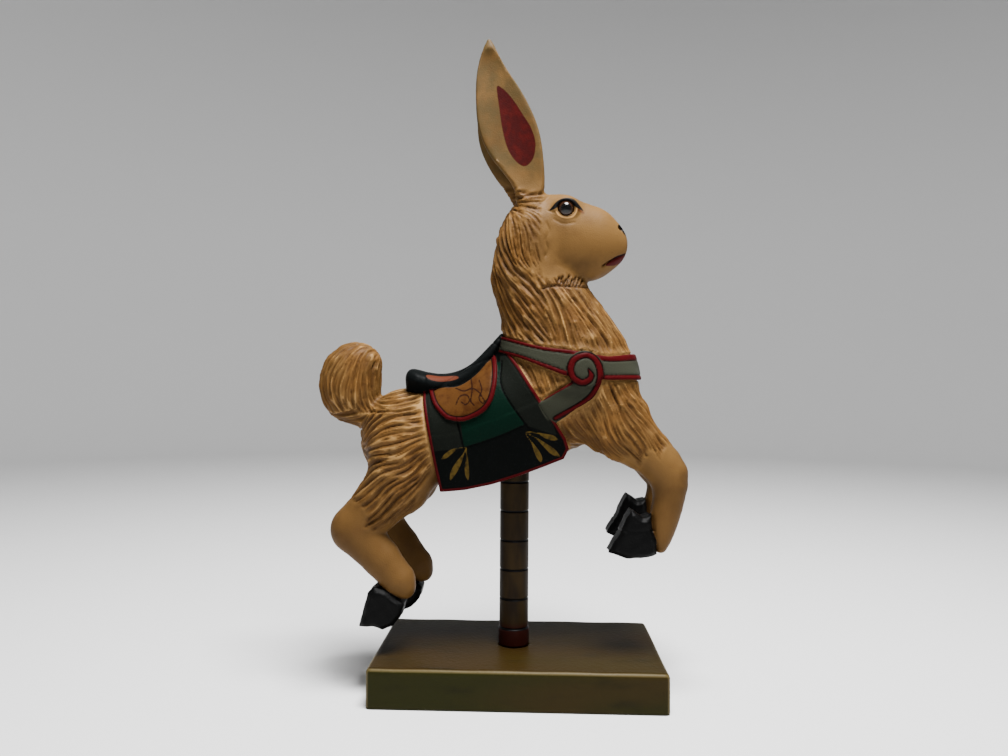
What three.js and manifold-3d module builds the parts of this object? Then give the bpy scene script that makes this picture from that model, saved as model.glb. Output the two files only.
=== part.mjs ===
// A carousel rabbit carved in wood and painted, on a round pole that stands in a wooden plinth.
// Millimetres, +Z up, +X the way the rabbit faces. The origin is the middle of the plinth's underside.
import * as THREE from 'three';
import { mergeVertices } from 'three/addons/utils/BufferGeometryUtils.js';
import Module from 'manifold-3d';

const wasm = await Module();
wasm.setup();

// Driving sizes of the plinth
const PLINTH_LENGTH = 201;
const PLINTH_DEPTH = 113;
const PLINTH_HEIGHT = 27;
const PLINTH_CORNER_RADIUS = 3.5;
const PLINTH_EDGE_RADIUS = 3.5;
const PLINTH_FOOT_CHAMFER = 1;

// Driving sizes of the pole
const POLE_DIAMETER = 21;
const POLE_OFFSET = -3.5;
const PLINTH_SOCKET_DEPTH = 14;
const BELLY_SOCKET_DEPTH = 14;
const RING_PITCH = 21;
const RING_WIDTH = 1.6;
const RING_DEPTH = 0.7;
const FOOT_HEIGHT = 12.5;
const FOOT_THICKNESS = 0.6;

// Driving sizes of the rabbit and its eyes
const FIGURE_HEIGHT = 420;
const HOOF_GAP = 17.6;
const EYE_DIAMETER = 12.6;
const CLOTH_THICKNESS = 2.8;
const CLOTH_SKIRT_THICKNESS = 6;
const FLAP_THICKNESS = 2;
const STRAP_THICKNESS = 3.6;
const SCROLL_THICKNESS = 5.4;
const LOCK_DEPTH = 2.6;
const SADDLE_WIDTH = 44;

// Fits
const CLEARANCE = 0.3;

// How finely the carving is cut
const CUT_STEP = 2.4;
const CARVING_TRIANGLES = 7440;
const SHELL_STEP = 4;
const SHELL_TRIANGLES = 600;
const CLOTH_TRIANGLES = 840;
const MOUTH_TRIANGLES = 300;
const FIRST_TRIANGLES = 10416;
const ROUND_SEGMENTS = 24;

// The carving's stations are measured on a figure of this height, from lowest hoof to ear tips.
// Its own frame has its origin on the pole's axis, at the height where the cloth hides the pole.
const DRAWN_HEIGHT = 420;
const DRAWN_DROP = 105.4;
const figureScale = FIGURE_HEIGHT / DRAWN_HEIGHT;
const seatHeight = PLINTH_HEIGHT + HOOF_GAP + DRAWN_DROP * figureScale;
const poleRadius = POLE_DIAMETER / 2;

const clamp = (v, low, high) => Math.min(high, Math.max(low, v));
const lerp = (a, b, t) => a + (b - a) * t;

// Joins two distances with a fillet about as wide as reach.
function blend(a, b, reach) {
  const h = Math.max(reach - Math.abs(a - b), 0) / reach;
  return Math.min(a, b) - (h * h * reach) / 4;
}

// A limb is a row of stations: place, half thickness seen from the side, half width across, share of fur.
function limb(stations, locks = 0, twist = 0) {
  const segments = [];
  let run = 0;
  for (let i = 0; i + 1 < stations.length; i++) {
    const [a, b] = [stations[i], stations[i + 1]];
    const along = [b[0] - a[0], b[1] - a[1], b[2] - a[2]];
    const length = Math.hypot(...along);
    segments.push({ a, b, along, length, run });
    run += length;
  }
  const low = [0, 1, 2].map((k) => Math.min(...stations.map((s) => s[k] - s[k === 1 ? 4 : 3])));
  const high = [0, 1, 2].map((k) => Math.max(...stations.map((s) => s[k] + s[k === 1 ? 4 : 3])));
  return { segments, locks, twist, low, high };
}

// Distance to the box round a shape, which is never more than the distance to the shape itself.
function boxDistance({ low, high }, x, y, z) {
  const dx = Math.max(low[0] - x, x - high[0], 0);
  const dy = Math.max(low[1] - y, y - high[1], 0);
  const dz = Math.max(low[2] - z, z - high[2], 0);
  return Math.sqrt(dx * dx + dy * dy + dz * dz);
}

// The carved locks: round crests and sharp valleys that run along the limb and wave as they go.
const LOCK_WAVE = 26;
const LOCK_SWAY = 0.55;
const LOCK_LEVEL = 0.55;
const FADE_WAVE = 44.2;
const FADE_SHARE = 0.28;
const FADE_STEP = 2.4;
function lockHeight(count, twist, run, turn) {
  const phase = (count * turn) / 2 + twist * run + LOCK_SWAY * Math.sin((2 * Math.PI * run) / LOCK_WAVE);
  const lock = Math.floor(phase / Math.PI);
  const fade = 1 - FADE_SHARE + FADE_SHARE * Math.sin((2 * Math.PI * run) / FADE_WAVE + FADE_STEP * lock);
  return LOCK_DEPTH * fade * (Math.abs(Math.sin(phase)) - LOCK_LEVEL);
}

const JOINT_REACH = 2;
const FAR = 30;
const LOCK_RANGE = 8;
function limbDistance(shape, x, y, z, locks = 1) {
  const apart = boxDistance(shape, x, y, z);
  if (apart > FAR) return apart;
  let best = Infinity;
  let nearest = null;
  for (const s of shape.segments) {
    const [ax, ay, az, ah, aw, af] = s.a;
    const [, , , bh, bw, bf] = s.b;
    const [dx, dy, dz] = s.along;
    const t = clamp(((x - ax) * dx + (y - ay) * dy + (z - az) * dz) / (s.length * s.length), 0, 1);
    const qx = x - ax - t * dx;
    const qy = y - ay - t * dy;
    const qz = z - az - t * dz;
    const h = lerp(ah, bh, t);
    const w = lerp(aw, bw, t);
    const side = qx * qx + qz * qz;
    const k0 = Math.sqrt(side / (h * h) + (qy * qy) / (w * w));
    const k1 = Math.sqrt(side / (h * h * h * h) + (qy * qy) / (w * w * w * w));
    const d = k1 < 1e-9 ? -Math.min(h, w) : (k0 * (k0 - 1)) / k1;
    if (!nearest || d < nearest.d) nearest = { d, t, s, qx, qy, qz, h, w, fur: lerp(af, bf, t) };
    best = blend(best, d, JOINT_REACH);
  }
  if (!shape.locks || !locks || !nearest.fur || Math.abs(best) > LOCK_RANGE) return best;
  const { s, t, qx, qy, qz, h, w, fur } = nearest;
  const across = (qz * s.along[0] - qx * s.along[2]) / s.length;
  const turn = Math.atan2(Math.abs(qy) / w, across / h);
  return best - fur * lockHeight(shape.locks, shape.twist, s.run + t * s.length, turn);
}

// An upright body is a stack of oval slices: height, back, front, half width across.
function column(slices, locks, twist) {
  const low = [Math.min(...slices.map((s) => s[1])), -Math.max(...slices.map((s) => s[3])), slices[0][0]];
  const high = [Math.max(...slices.map((s) => s[2])), -low[1], slices[slices.length - 1][0]];
  return { slices, locks, twist, low, high };
}

const COLUMN_SLOPE = 0.93;
function columnDistance(shape, x, y, z, locks = 1) {
  const apart = boxDistance(shape, x, y, z);
  if (apart > FAR) return apart;
  const { slices } = shape;
  let i = 0;
  while (i < slices.length - 2 && z > slices[i + 1][0]) i++;
  const t = clamp((z - slices[i][0]) / (slices[i + 1][0] - slices[i][0]), 0, 1);
  const [, back, front, w] = slices[i].map((v, k) => lerp(v, slices[i + 1][k], t));
  const h = (front - back) / 2;
  const qx = x - (front + back) / 2;
  const k0 = Math.hypot(qx / h, y / w);
  const k1 = Math.hypot(qx / (h * h), y / (w * w));
  const side = k1 < 1e-9 ? -Math.min(h, w) : (COLUMN_SLOPE * k0 * (k0 - 1)) / k1;
  const d = Math.max(side, shape.low[2] - z, z - shape.high[2]);
  if (!locks || Math.abs(d) > LOCK_RANGE) return d;
  return d - locks * lockHeight(shape.locks, shape.twist, z, Math.atan2(Math.abs(y) / w, qx / h));
}

// More stations between the given ones, on smooth curves through them.
const EASING_STEPS = 3;
function eased(stations) {
  const mirrored = (a, b) => a.map((v, k) => 2 * v - b[k]);
  const found = [];
  for (let i = 0; i + 1 < stations.length; i++) {
    const [b, c] = [stations[i], stations[i + 1]];
    const a = stations[i - 1] ?? mirrored(b, c);
    const d = stations[i + 2] ?? mirrored(c, b);
    for (let n = 0; n < EASING_STEPS; n++) {
      const t = n / EASING_STEPS;
      found.push(b.map((v, k) => v + 0.5 * t * (c[k] - a[k]
        + t * (2 * a[k] - 5 * v + 4 * c[k] - d[k] + t * (3 * v - a[k] - 3 * c[k] + d[k])))));
    }
  }
  found.push(stations[stations.length - 1]);
  return found;
}

// Height of a line that runs through points in order of x.
function lineHeight(points, x) {
  let i = 0;
  while (i < points.length - 2 && x > points[i + 1][0]) i++;
  const [[ax, az], [bx, bz]] = [points[i], points[i + 1]];
  return lerp(az, bz, clamp((x - ax) / (bx - ax), 0, 1));
}

// Body, neck and head
const TORSO = limb([
  [-78, 0, 26.5, 34, 31, 1],
  [-47, 0, 28, 35, 33, 0.6],
  [-12, 0, 40, 38, 34, 0],
  [23, 0, 55, 40, 33, 0.3],
  [46.5, 0, 64, 39.5, 31, 1],
], 24);
const NECK = column([
  [68, -9, 84.5, 31],
  [84, -9, 82.5, 30],
  [98, -8.5, 78.8, 29],
  [112, -10, 69.5, 27],
  [120, -12, 63.5, 26],
  [127, -14, 58.5, 25],
  [134, -16, 53.5, 23.5],
  [142, -17.5, 49.5, 22.5],
  [149, -16.7, 44, 22],
  [163, -14.7, 40, 21.5],
  [171, -13.7, 38, 21],
  [178, -11.7, 34, 20],
  [185, -8.7, 30, 18],
  [193, -3, 24, 14],
  [199, 3, 18, 8],
], 20, -0.1);
const HEAD = limb([
  [25, 0, 172.4, 31.7, 20.5, 0],
  [38, 0, 169.5, 30.7, 20, 0],
  [50, 0, 168.5, 28, 17.5, 0],
  [61.5, 0, 167.5, 19.8, 12.5, 0],
]);
const TAIL = limb(eased([
  [-99, 0, 36, 8, 9, 1],
  [-113, 0, 49.5, 14.5, 12, 1],
  [-121, 0, 58.5, 20.5, 15, 1],
  [-120, 0, 73, 20.5, 15, 1],
  [-112, 0, 80.5, 11.5, 11, 1],
]), 16);

// Legs: side is -1 on the right and 1 on the left, and step and lift move the lower leg.
const hindLeg = (side, step) => limb([
  [-74, 19 * side, 15, 29.5, 14, 1],
  [-81.5, 22 * side, -5, 22.5, 13, 1],
  [-96, 23 * side, -21, 17.5, 12, 0.8],
  [-111.5 + step, 24 * side, -37.5, 16.3, 11, 0],
  [-93 + step, 24 * side, -57.5, 12.7, 10, 0],
  [-80 + step, 24 * side, -73, 11, 9.5, 0],
  [-76 + step, 24 * side, -78, 7, 8, 0],
], 14);
const foreLeg = (side, reach, lift) => limb([
  [62.5, 17 * side, 49, 29.5, 14, 1],
  [78.5, 21 * side, 31, 20, 12.5, 1],
  [96, 22 * side, 16.5, 14.4, 11, 0.3],
  [107, 22 * side, 3, 13.2, 10, 0],
  [108.5 + reach, 22 * side, -12 + lift, 10.4, 9, 0],
  [105 + reach, 22 * side, -26 + lift, 9.1, 8.5, 0],
  [103 + reach, 22 * side, -38 + lift, 7, 8, 0],
  [102 + reach, 22 * side, -47 + lift, 4, 7, 0],
], 14);
const LEFT_STEP = 6;
const LEFT_REACH = 3;
const LEFT_LIFT = 5;
const LEGS = [
  hindLeg(-1, 0),
  hindLeg(1, LEFT_STEP),
  foreLeg(-1, 0, 0),
  foreLeg(1, LEFT_REACH, LEFT_LIFT),
];

// Hooves are cut with flat faces, from their outlines seen from the side.
const HIND_HOOF = [
  [-96.5, -75.5], [-101, -80], [-104.8, -95], [-107.2, -103.5], [-97, -103.5], [-90, -105.4], [-83, -102.6],
  [-77.5, -96.5], [-75, -87.5], [-82, -82], [-89, -77.5],
];
const FORE_HOOF = [
  [81, -20.5], [77.3, -26.8], [73, -37], [67.7, -45], [65.3, -50.4], [73, -53.2], [80, -54.7], [92.6, -53.7],
  [99, -51], [98, -42], [95.5, -34], [95, -24], [88.8, -26],
];
const HOOF_HALF_WIDTH = 11;
const HOOF_BEVEL = 3;
const HOOVES = [
  { outline: HIND_HOOF, y: -24, x: 0, z: 0 },
  { outline: HIND_HOOF, y: 24, x: LEFT_STEP, z: -0.5 },
  { outline: FORE_HOOF, y: -22, x: 0, z: 0 },
  { outline: FORE_HOOF, y: 22, x: LEFT_REACH, z: LEFT_LIFT },
];

// Ears: leaves that face sideways, with a shallow hollow on the outer face. The left one sits further back.
const EAR_HOLLOW = 2.6;
const EAR_HOLLOW_REACH = 3;
const EAR_HOLLOW_WIDTH = 1.5;
const RIGHT_EAR = [
  [10.5, -8, 198, 9, 7.5, 0.4],
  [8.5, -9, 213, 11.5, 6, 0],
  [3.5, -10, 227, 15.5, 5, 0],
  [-2.5, -10, 241, 19.3, 4.6, 0],
  [-8, -10, 255, 19.6, 4.4, 0],
  [-12.5, -10, 270, 16.6, 4, 0],
  [-17, -10, 285, 12, 3.4, 0],
  [-19.5, -10, 299, 7.2, 2.6, 0],
  [-20.3, -10, 313, 1.8, 1.6, 0],
];
const LEFT_EAR = [
  [9.5, 8, 198, 9, 7.5, 0.4],
  [3, 9, 213, 11, 6, 0],
  [-4, 10, 230, 15.5, 5, 0],
  [-9, 10, 247, 18.5, 4.6, 0],
  [-12.5, 10, 264, 16.8, 4.2, 0],
  [-16.5, 10, 284, 12, 3.4, 0],
  [-19, 10, 300, 6.5, 2.6, 0],
  [-20, 10, 311, 1.8, 1.6, 0],
];
const earHollow = ([x, y, z, h, w]) => [
  x,
  y + Math.sign(y) * (w + EAR_HOLLOW_REACH),
  z,
  EAR_HOLLOW_WIDTH * h,
  EAR_HOLLOW_REACH + Math.min(EAR_HOLLOW, 0.6 * w),
  0,
];
const EARS = [RIGHT_EAR, LEFT_EAR].map((stations) => ({
  leaf: limb(eased(stations)),
  hollow: limb(eased(stations.slice(1, -1)).map(earHollow)),
}));

// Tack, drawn on the right side and the same on the left. Flap and cloth end under the seat's rim.
const SADDLE_TOP = [
  [-79, 74], [-74, 76], [-65, 74], [-54, 72.6], [-43, 74.2], [-32, 79.8], [-22, 89.5], [-12, 100.5], [-9, 104],
];
const SADDLE_RIM = [
  [-79, 68.5], [-71, 67], [-61, 64.2], [-46, 62.4], [-36, 65], [-25, 74], [-16, 87], [-9, 99],
];
const underRim = (back) => SADDLE_RIM.filter(([x]) => x > back && x < -12).reverse();
const CLOTH = [
  [-65.5, 60], [-64.5, 54], [-62, 43], [-58.5, 27], [-55, 9], [-51, -10], [-34, -8.5], [-15.5, -4.5],
  [3.5, 1.5], [22, 8.5], [34.5, 13.5], [38, 20.5], [35.5, 28], [29, 38.5], [22, 48.5], [13, 62], [3.5, 77],
  [-4, 87], [-10.5, 95],
  ...underRim(-60),
];
const FLAP = [
  [-60, 59.5], [-56, 50.5], [-49, 43], [-44.5, 40.5], [-36, 39.5], [-28, 42], [-20, 47], [-15, 54.5],
  [-12.5, 67], [-13, 79], ...underRim(-56),
];
const COLLAR_TOP = [[-12, 100], [4, 95], [20, 91], [37, 89], [47, 87.5], [62, 85], [72, 85.5], [96, 89]];
const COLLAR_FOOT = [[-12, 88.5], [3.5, 83.5], [20, 77], [36, 71], [47, 69], [62, 68.5], [96, 69]];
const LOWER_STRAP = [
  [16, 51.5], [22, 56], [29.5, 60.5], [37.5, 66], [47, 76], [61, 72], [59.8, 64.5], [55.4, 57], [49.6, 52],
  [42, 47.3], [32.4, 41], [24, 35.8],
];
const SCROLL = { x: 48.3, z: 75.7, radius: 12.6, rim: 1.2, groove: 2, pitch: 6, turns: 1.3, start: -0.9 };
const SCROLL_SEGMENTS = 28;
const GROOVE_TAPER = 6;
const GROOVE_TIP = 0.2;
const GROOVE_FLOOR = 0.4;

// Saddle: the rim's width as shares of the saddle's width
const SADDLE_SHARES = [
  [-79, 0.62], [-76, 0.84], [-70, 0.97], [-60, 1], [-45, 0.95], [-30, 0.82], [-18, 0.66], [-9, 0.5],
];
const SADDLE_STATIONS = [-79, -77.5, -74, -69, -62, -54, -46, -38, -30, -23, -16, -9];
const SADDLE_CROWN = 6;
const SADDLE_ROOT = 12;
const SADDLE_ROOT_SHARE = 0.5;
const SADDLE_LIP_SHARE = 0.97;

// Face: brow, eye places, mouth and nostril
const BROW = { x: 35, y: 7, z: 191, radius: 10.5 };
const EYE = { x: 35.5, y: 15, z: 190 };
const MOUTH = [[60, 152], [78, 158.5], [83, 162.5], [78, 161]];
const MOUTH_DEPTH = 2.2;
const NOSTRIL = { x: 75.5, y: 5.5, z: 178, radius: 2.6 };

// How wide the fillets are where the forms run into each other
const FILLETS = { neck: 10, brow: 6, leg: 7, head: 4, tail: 4, ear: 5 };

// Trunk and face, without locks where a smooth surface is wanted
function trunkDistance(x, y, z, locks = 1) {
  return blend(limbDistance(TORSO, x, y, z, locks), columnDistance(NECK, x, y, z, locks), FILLETS.neck);
}

function faceDistance(x, y, z) {
  const brow = Math.hypot(x - BROW.x, Math.abs(y) - BROW.y, z - BROW.z) - BROW.radius;
  return blend(limbDistance(HEAD, x, y, z), brow, FILLETS.brow);
}

function bodyDistance(x, y, z, locks = 1) {
  let body = trunkDistance(x, y, z, locks);
  for (const leg of LEGS) body = blend(body, limbDistance(leg, x, y, z, locks), FILLETS.leg);
  return body;
}

// The whole figure but for its tack and hooves
function carving(x, y, z) {
  let body = blend(bodyDistance(x, y, z), faceDistance(x, y, z), FILLETS.head);
  body = blend(body, limbDistance(TAIL, x, y, z), FILLETS.tail);
  for (const ear of EARS) {
    const leaf = limbDistance(ear.leaf, x, y, z);
    const hollow = leaf < 12 ? limbDistance(ear.hollow, x, y, z) : Infinity;
    body = blend(body, Math.max(leaf, -hollow), FILLETS.ear);
  }
  return body;
}

// The cloth's skirts hang beside the belly and draw in towards their lower edge.
const TRUNK_STATIONS = [...TORSO.segments.map((s) => s.a), TORSO.segments[TORSO.segments.length - 1].b];
const TRUNK_MIDDLE = TRUNK_STATIONS.map(([x, , z]) => [x, z]);
const TRUNK_SIDE = TRUNK_STATIONS.map(([x, , , , w]) => [x, w]);
const SKIRT_DRAW = 4;
const SKIRT_DROP = 36;
const SKIRT_ENDS = [-72, 46];
const SKIRT_FOOT = -16;
function clothDistance(x, y, z) {
  const body = bodyDistance(x, y, z, 0);
  const middle = lineHeight(TRUNK_MIDDLE, x);
  const drop = Math.max(0, middle - z) / SKIRT_DROP;
  const face = lineHeight(TRUNK_SIDE, x) + CLOTH_THICKNESS - SKIRT_DRAW * drop * drop;
  const skirt = Math.max(
    Math.abs(y) - face,
    face - CLOTH_SKIRT_THICKNESS - Math.abs(y),
    z - middle,
    SKIRT_FOOT - z,
    SKIRT_ENDS[0] - x,
    x - SKIRT_ENDS[1],
  );
  return Math.min(body - CLOTH_THICKNESS, skirt);
}

// The limits of the carving and of its trunk, in the carving's frame
const CARVING_LOW = [-150, -44, -110];
const CARVING_HIGH = [127, 44, 322];
const TRUNK_LOW = [-125, -44, -24];
const TRUNK_HIGH = [115, 44, 150];
const HEAD_LOW = [-20, -30, 130];
const HEAD_HIGH = [95, 30, 215];

// Cuts the surface out of a grid of cells, each split into six tetrahedra round its long diagonal.
const CORNERS = [[0, 0, 0], [1, 0, 0], [0, 1, 0], [1, 1, 0], [0, 0, 1], [1, 0, 1], [0, 1, 1], [1, 1, 1]];
const TETRAHEDRA = [[0, 1, 3, 7], [0, 3, 2, 7], [0, 2, 6, 7], [0, 6, 4, 7], [0, 4, 5, 7], [0, 5, 1, 7]];
const BLOCK = 4;

function cutSurface(distance, low, high, step) {
  const count = low.map((v, k) => Math.ceil((high[k] - v) / step / BLOCK) * BLOCK + 1);
  const values = new Float64Array(count[0] * count[1] * count[2]).fill(NaN);
  const key = (i, j, k) => (i * count[1] + j) * count[2] + k;
  const place = (id) => {
    const k = id % count[2];
    const rest = (id - k) / count[2];
    const j = rest % count[1];
    return [low[0] + ((rest - j) / count[1]) * step, low[1] + j * step, low[2] + k * step];
  };
  const value = (id) => {
    if (Number.isNaN(values[id])) values[id] = distance(...place(id)) || 1e-9;
    return values[id];
  };
  const positions = [];
  const made = new Map();
  const crossing = (a, b) => {
    const [p, q] = a < b ? [a, b] : [b, a];
    const name = p * 8e6 + q;
    if (!made.has(name)) {
      const [u, v] = [value(p), value(q)];
      const t = clamp(u / (u - v), 0.08, 0.92);
      const [from, to] = [place(p), place(q)];
      made.set(name, positions.length / 3);
      positions.push(...from.map((c, n) => lerp(c, to[n], t)));
    }
    return made.get(name);
  };
  const faces = [];
  const reach = (BLOCK * step * Math.sqrt(3)) / 2 + step;
  for (let bi = 0; bi + BLOCK < count[0]; bi += BLOCK)
    for (let bj = 0; bj + BLOCK < count[1]; bj += BLOCK)
      for (let bk = 0; bk + BLOCK < count[2]; bk += BLOCK) {
        const middle = value(key(bi + BLOCK / 2, bj + BLOCK / 2, bk + BLOCK / 2));
        if (Math.abs(middle) > 1.3 * reach) continue;
        for (let c = 0; c < BLOCK ** 3; c++) {
          const i = bi + (c % BLOCK);
          const j = bj + (Math.floor(c / BLOCK) % BLOCK);
          const k = bk + Math.floor(c / BLOCK ** 2);
          const ids = CORNERS.map((o) => key(i + o[0], j + o[1], k + o[2]));
          const inside = ids.map((id) => value(id) < 0);
          if (inside.every(Boolean) || !inside.some(Boolean)) continue;
          for (const corners of TETRAHEDRA) {
            const within = corners.filter((n) => inside[n]);
            const outside = corners.filter((n) => !inside[n]);
            if (!within.length || !outside.length) continue;
            const ring = within.length === 2
              ? [[0, 0], [0, 1], [1, 1], [1, 0]].map(([m, n]) => crossing(ids[within[m]], ids[outside[n]]))
              : within.length === 1
                ? outside.map((n) => crossing(ids[within[0]], ids[n]))
                : within.map((n) => crossing(ids[n], ids[outside[0]]));
            faces.push(...facingOut(ring, positions, within.map((n) => place(ids[n]))));
          }
        }
      }
  return { positions, faces };
}

// Turns a ring of corners into triangles whose normals point away from the points inside.
function facingOut(ring, positions, inside) {
  const corner = (n) => new THREE.Vector3().fromArray(positions, 3 * n);
  const [a, b, c] = ring.map(corner);
  const normal = b.clone().sub(a).cross(c.clone().sub(a));
  const middle = inside.reduce((sum, p) => sum.add(new THREE.Vector3(...p)), new THREE.Vector3());
  middle.divideScalar(inside.length);
  const order = normal.dot(middle.sub(a)) > 0 ? [...ring].reverse() : ring;
  const triangles = [[order[0], order[1], order[2]]];
  if (order.length === 4) triangles.push([order[0], order[2], order[3]]);
  return triangles;
}

// Adds the squared distance to a plane, held as the ten numbers of a symmetric matrix.
function addPlane(quadrics, at, plane, weight) {
  let n = at;
  for (let i = 0; i < 4; i++) {
    for (let j = i; j < 4; j++) quadrics[n++] += weight * plane[i] * plane[j];
  }
}

function quadricError(q, [x, y, z]) {
  return q[0] * x * x + 2 * q[1] * x * y + 2 * q[2] * x * z + 2 * q[3] * x + q[4] * y * y
    + 2 * q[5] * y * z + 2 * q[6] * y + q[7] * z * z + 2 * q[8] * z + q[9];
}

// The place with the least error, pulled slightly to the middle of the edge so that it is always found.
function bestPlace(q, middle) {
  const pull = 1e-3 * (q[0] + q[4] + q[7]) + 1e-9;
  const [a, b, c, d, e, f] = [q[0] + pull, q[1], q[2], q[4] + pull, q[5], q[7] + pull];
  const [u, v, w] = [pull * middle[0] - q[3], pull * middle[1] - q[6], pull * middle[2] - q[8]];
  const [m0, m1, m2] = [d * f - e * e, c * e - b * f, b * e - c * d];
  const whole = a * m0 + b * m1 + c * m2;
  return [
    (u * m0 + v * m1 + w * m2) / whole,
    (u * m1 + v * (a * f - c * c) + w * (b * c - a * e)) / whole,
    (u * m2 + v * (b * c - a * e) + w * (a * d - b * b)) / whole,
  ];
}

// Edges in order of cost, cheapest first.
class EdgeQueue {
  constructor() {
    this.heap = [];
  }

  add(edge) {
    let n = this.heap.push(edge) - 1;
    while (n > 0) {
      const up = (n - 1) >> 1;
      if (this.heap[up].cost <= edge.cost) break;
      this.heap[n] = this.heap[up];
      n = up;
    }
    this.heap[n] = edge;
  }

  take() {
    const first = this.heap[0];
    const last = this.heap.pop();
    if (!this.heap.length) return first;
    let n = 0;
    for (;;) {
      let down = 2 * n + 1;
      if (down >= this.heap.length) break;
      if (down + 1 < this.heap.length && this.heap[down + 1].cost < this.heap[down].cost) down++;
      if (this.heap[down].cost >= last.cost) break;
      this.heap[n] = this.heap[down];
      n = down;
    }
    this.heap[n] = last;
    return first;
  }
}

// Merges the ends of the flattest edges until few enough triangles are left. The surface stays closed.
const SLIVER = 0.02;
const LEAST_TURN = 0.25;
function simplify(surface, target) {
  const places = Float64Array.from(surface.positions);
  const faces = surface.faces.map((face) => [...face]);
  const count = places.length / 3;
  const around = Array.from({ length: count }, () => []);
  const quadrics = new Float64Array(10 * count);
  const stamps = new Int32Array(count);
  const placeOf = (n) => [places[3 * n], places[3 * n + 1], places[3 * n + 2]];
  const cross = ([ax, ay, az], [bx, by, bz], [cx, cy, cz]) => [
    (by - ay) * (cz - az) - (bz - az) * (cy - ay),
    (bz - az) * (cx - ax) - (bx - ax) * (cz - az),
    (bx - ax) * (cy - ay) - (by - ay) * (cx - ax),
  ];
  const apart = (a, b) => (a[0] - b[0]) ** 2 + (a[1] - b[1]) ** 2 + (a[2] - b[2]) ** 2;
  faces.forEach((face, f) => {
    const corner = placeOf(face[0]);
    const normal = cross(corner, placeOf(face[1]), placeOf(face[2]));
    const size = Math.hypot(...normal) || 1e-12;
    const plane = [normal[0] / size, normal[1] / size, normal[2] / size, 0];
    plane[3] = -(plane[0] * corner[0] + plane[1] * corner[1] + plane[2] * corner[2]);
    for (const n of face) {
      around[n].push(f);
      addPlane(quadrics, 10 * n, plane, size / 2);
    }
  });
  const neighbours = (n) => {
    const found = [];
    for (const f of around[n]) for (const m of faces[f]) if (m !== n && !found.includes(m)) found.push(m);
    return found;
  };
  const queue = new EdgeQueue();
  const offer = (a, b) => {
    const q = new Array(10);
    for (let i = 0; i < 10; i++) q[i] = quadrics[10 * a + i] + quadrics[10 * b + i];
    const [pa, pb] = [placeOf(a), placeOf(b)];
    const place = bestPlace(q, [(pa[0] + pb[0]) / 2, (pa[1] + pb[1]) / 2, (pa[2] + pb[2]) / 2]);
    const cost = Math.max(0, quadricError(q, place)) + 1e-4 * apart(pa, pb);
    queue.add({ a, b, place, cost, stampA: stamps[a], stampB: stamps[b] });
  };
  for (let n = 0; n < count; n++) for (const m of neighbours(n)) if (n < m) offer(n, m);
  const staysSound = (moved, other, place) => {
    for (const f of around[moved]) {
      const face = faces[f];
      if (face.includes(other)) continue;
      const before = face.map(placeOf);
      const after = face.map((n) => (n === moved ? place : placeOf(n)));
      const old = cross(...before);
      const now = cross(...after);
      const [oldSize, size] = [Math.hypot(...old), Math.hypot(...now)];
      const [p, q, r] = after;
      const longest = Math.max(apart(p, q), apart(q, r), apart(r, p));
      if (size < SLIVER * longest) return false;
      if (now[0] * old[0] + now[1] * old[1] + now[2] * old[2] < LEAST_TURN * size * oldSize) return false;
    }
    return true;
  };
  let left = faces.length;
  while (left > target && queue.heap.length) {
    const { a, b, place, stampA, stampB } = queue.take();
    if (stampA !== stamps[a] || stampB !== stamps[b]) continue;
    const near = neighbours(a);
    const shared = neighbours(b).filter((n) => near.includes(n));
    if (shared.length !== 2 || !staysSound(a, b, place) || !staysSound(b, a, place)) continue;
    places.set(place, 3 * a);
    for (let i = 0; i < 10; i++) quadrics[10 * a + i] += quadrics[10 * b + i];
    for (const f of around[b]) {
      const face = faces[f];
      if (face.includes(a)) {
        for (const n of face) if (n !== b) around[n] = around[n].filter((g) => g !== f);
        faces[f] = null;
        left--;
      } else {
        face[face.indexOf(b)] = a;
        around[a].push(f);
      }
    }
    around[b] = [];
    stamps[a]++;
    stamps[b] = -1;
    for (const m of neighbours(a)) offer(a, m);
  }
  return { positions: Array.from(places), faces: faces.filter(Boolean) };
}

// Solids for joining and cutting
function solidOf({ positions, faces }) {
  const mesh = new wasm.Mesh({
    numProp: 3,
    vertProperties: Float32Array.from(positions),
    triVerts: Uint32Array.from(faces.flat()),
  });
  mesh.merge();
  return new wasm.Manifold(mesh);
}

function surfaceOf(solid) {
  const { vertProperties, triVerts } = solid.getMesh();
  const faces = [];
  for (let n = 0; n < triVerts.length; n += 3) faces.push([triVerts[n], triVerts[n + 1], triVerts[n + 2]]);
  return { positions: vertProperties, faces };
}

function solidFrom(geometry) {
  const bare = geometry.index ? geometry.toNonIndexed() : geometry.clone();
  for (const name of Object.keys(bare.attributes)) if (name !== 'position') bare.deleteAttribute(name);
  const whole = mergeVertices(bare, 1e-4);
  const index = whole.index.array;
  const faces = [];
  for (let n = 0; n < index.length; n += 3) {
    const face = [index[n], index[n + 1], index[n + 2]];
    if (new Set(face).size === 3) faces.push(face);
  }
  return solidOf({ positions: whole.attributes.position.array, faces });
}

function meshOf(name, solid, finish) {
  const { vertProperties, triVerts } = solid.getMesh();
  const geometry = new THREE.BufferGeometry();
  geometry.setAttribute('position', new THREE.BufferAttribute(vertProperties, 3));
  geometry.setIndex(new THREE.BufferAttribute(triVerts, 1));
  geometry.computeVertexNormals();
  const mesh = new THREE.Mesh(geometry, new THREE.MeshStandardMaterial(finish));
  mesh.name = name;
  return mesh;
}

// A turned solid on a vertical axis, from its radii and heights.
function turned(profile, x, y = 0, segments = ROUND_SEGMENTS) {
  const geometry = new THREE.LatheGeometry(profile.map(([r, z]) => new THREE.Vector2(r, z)), segments);
  geometry.rotateX(Math.PI / 2);
  geometry.translate(x, y, 0);
  return solidFrom(geometry);
}

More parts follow.
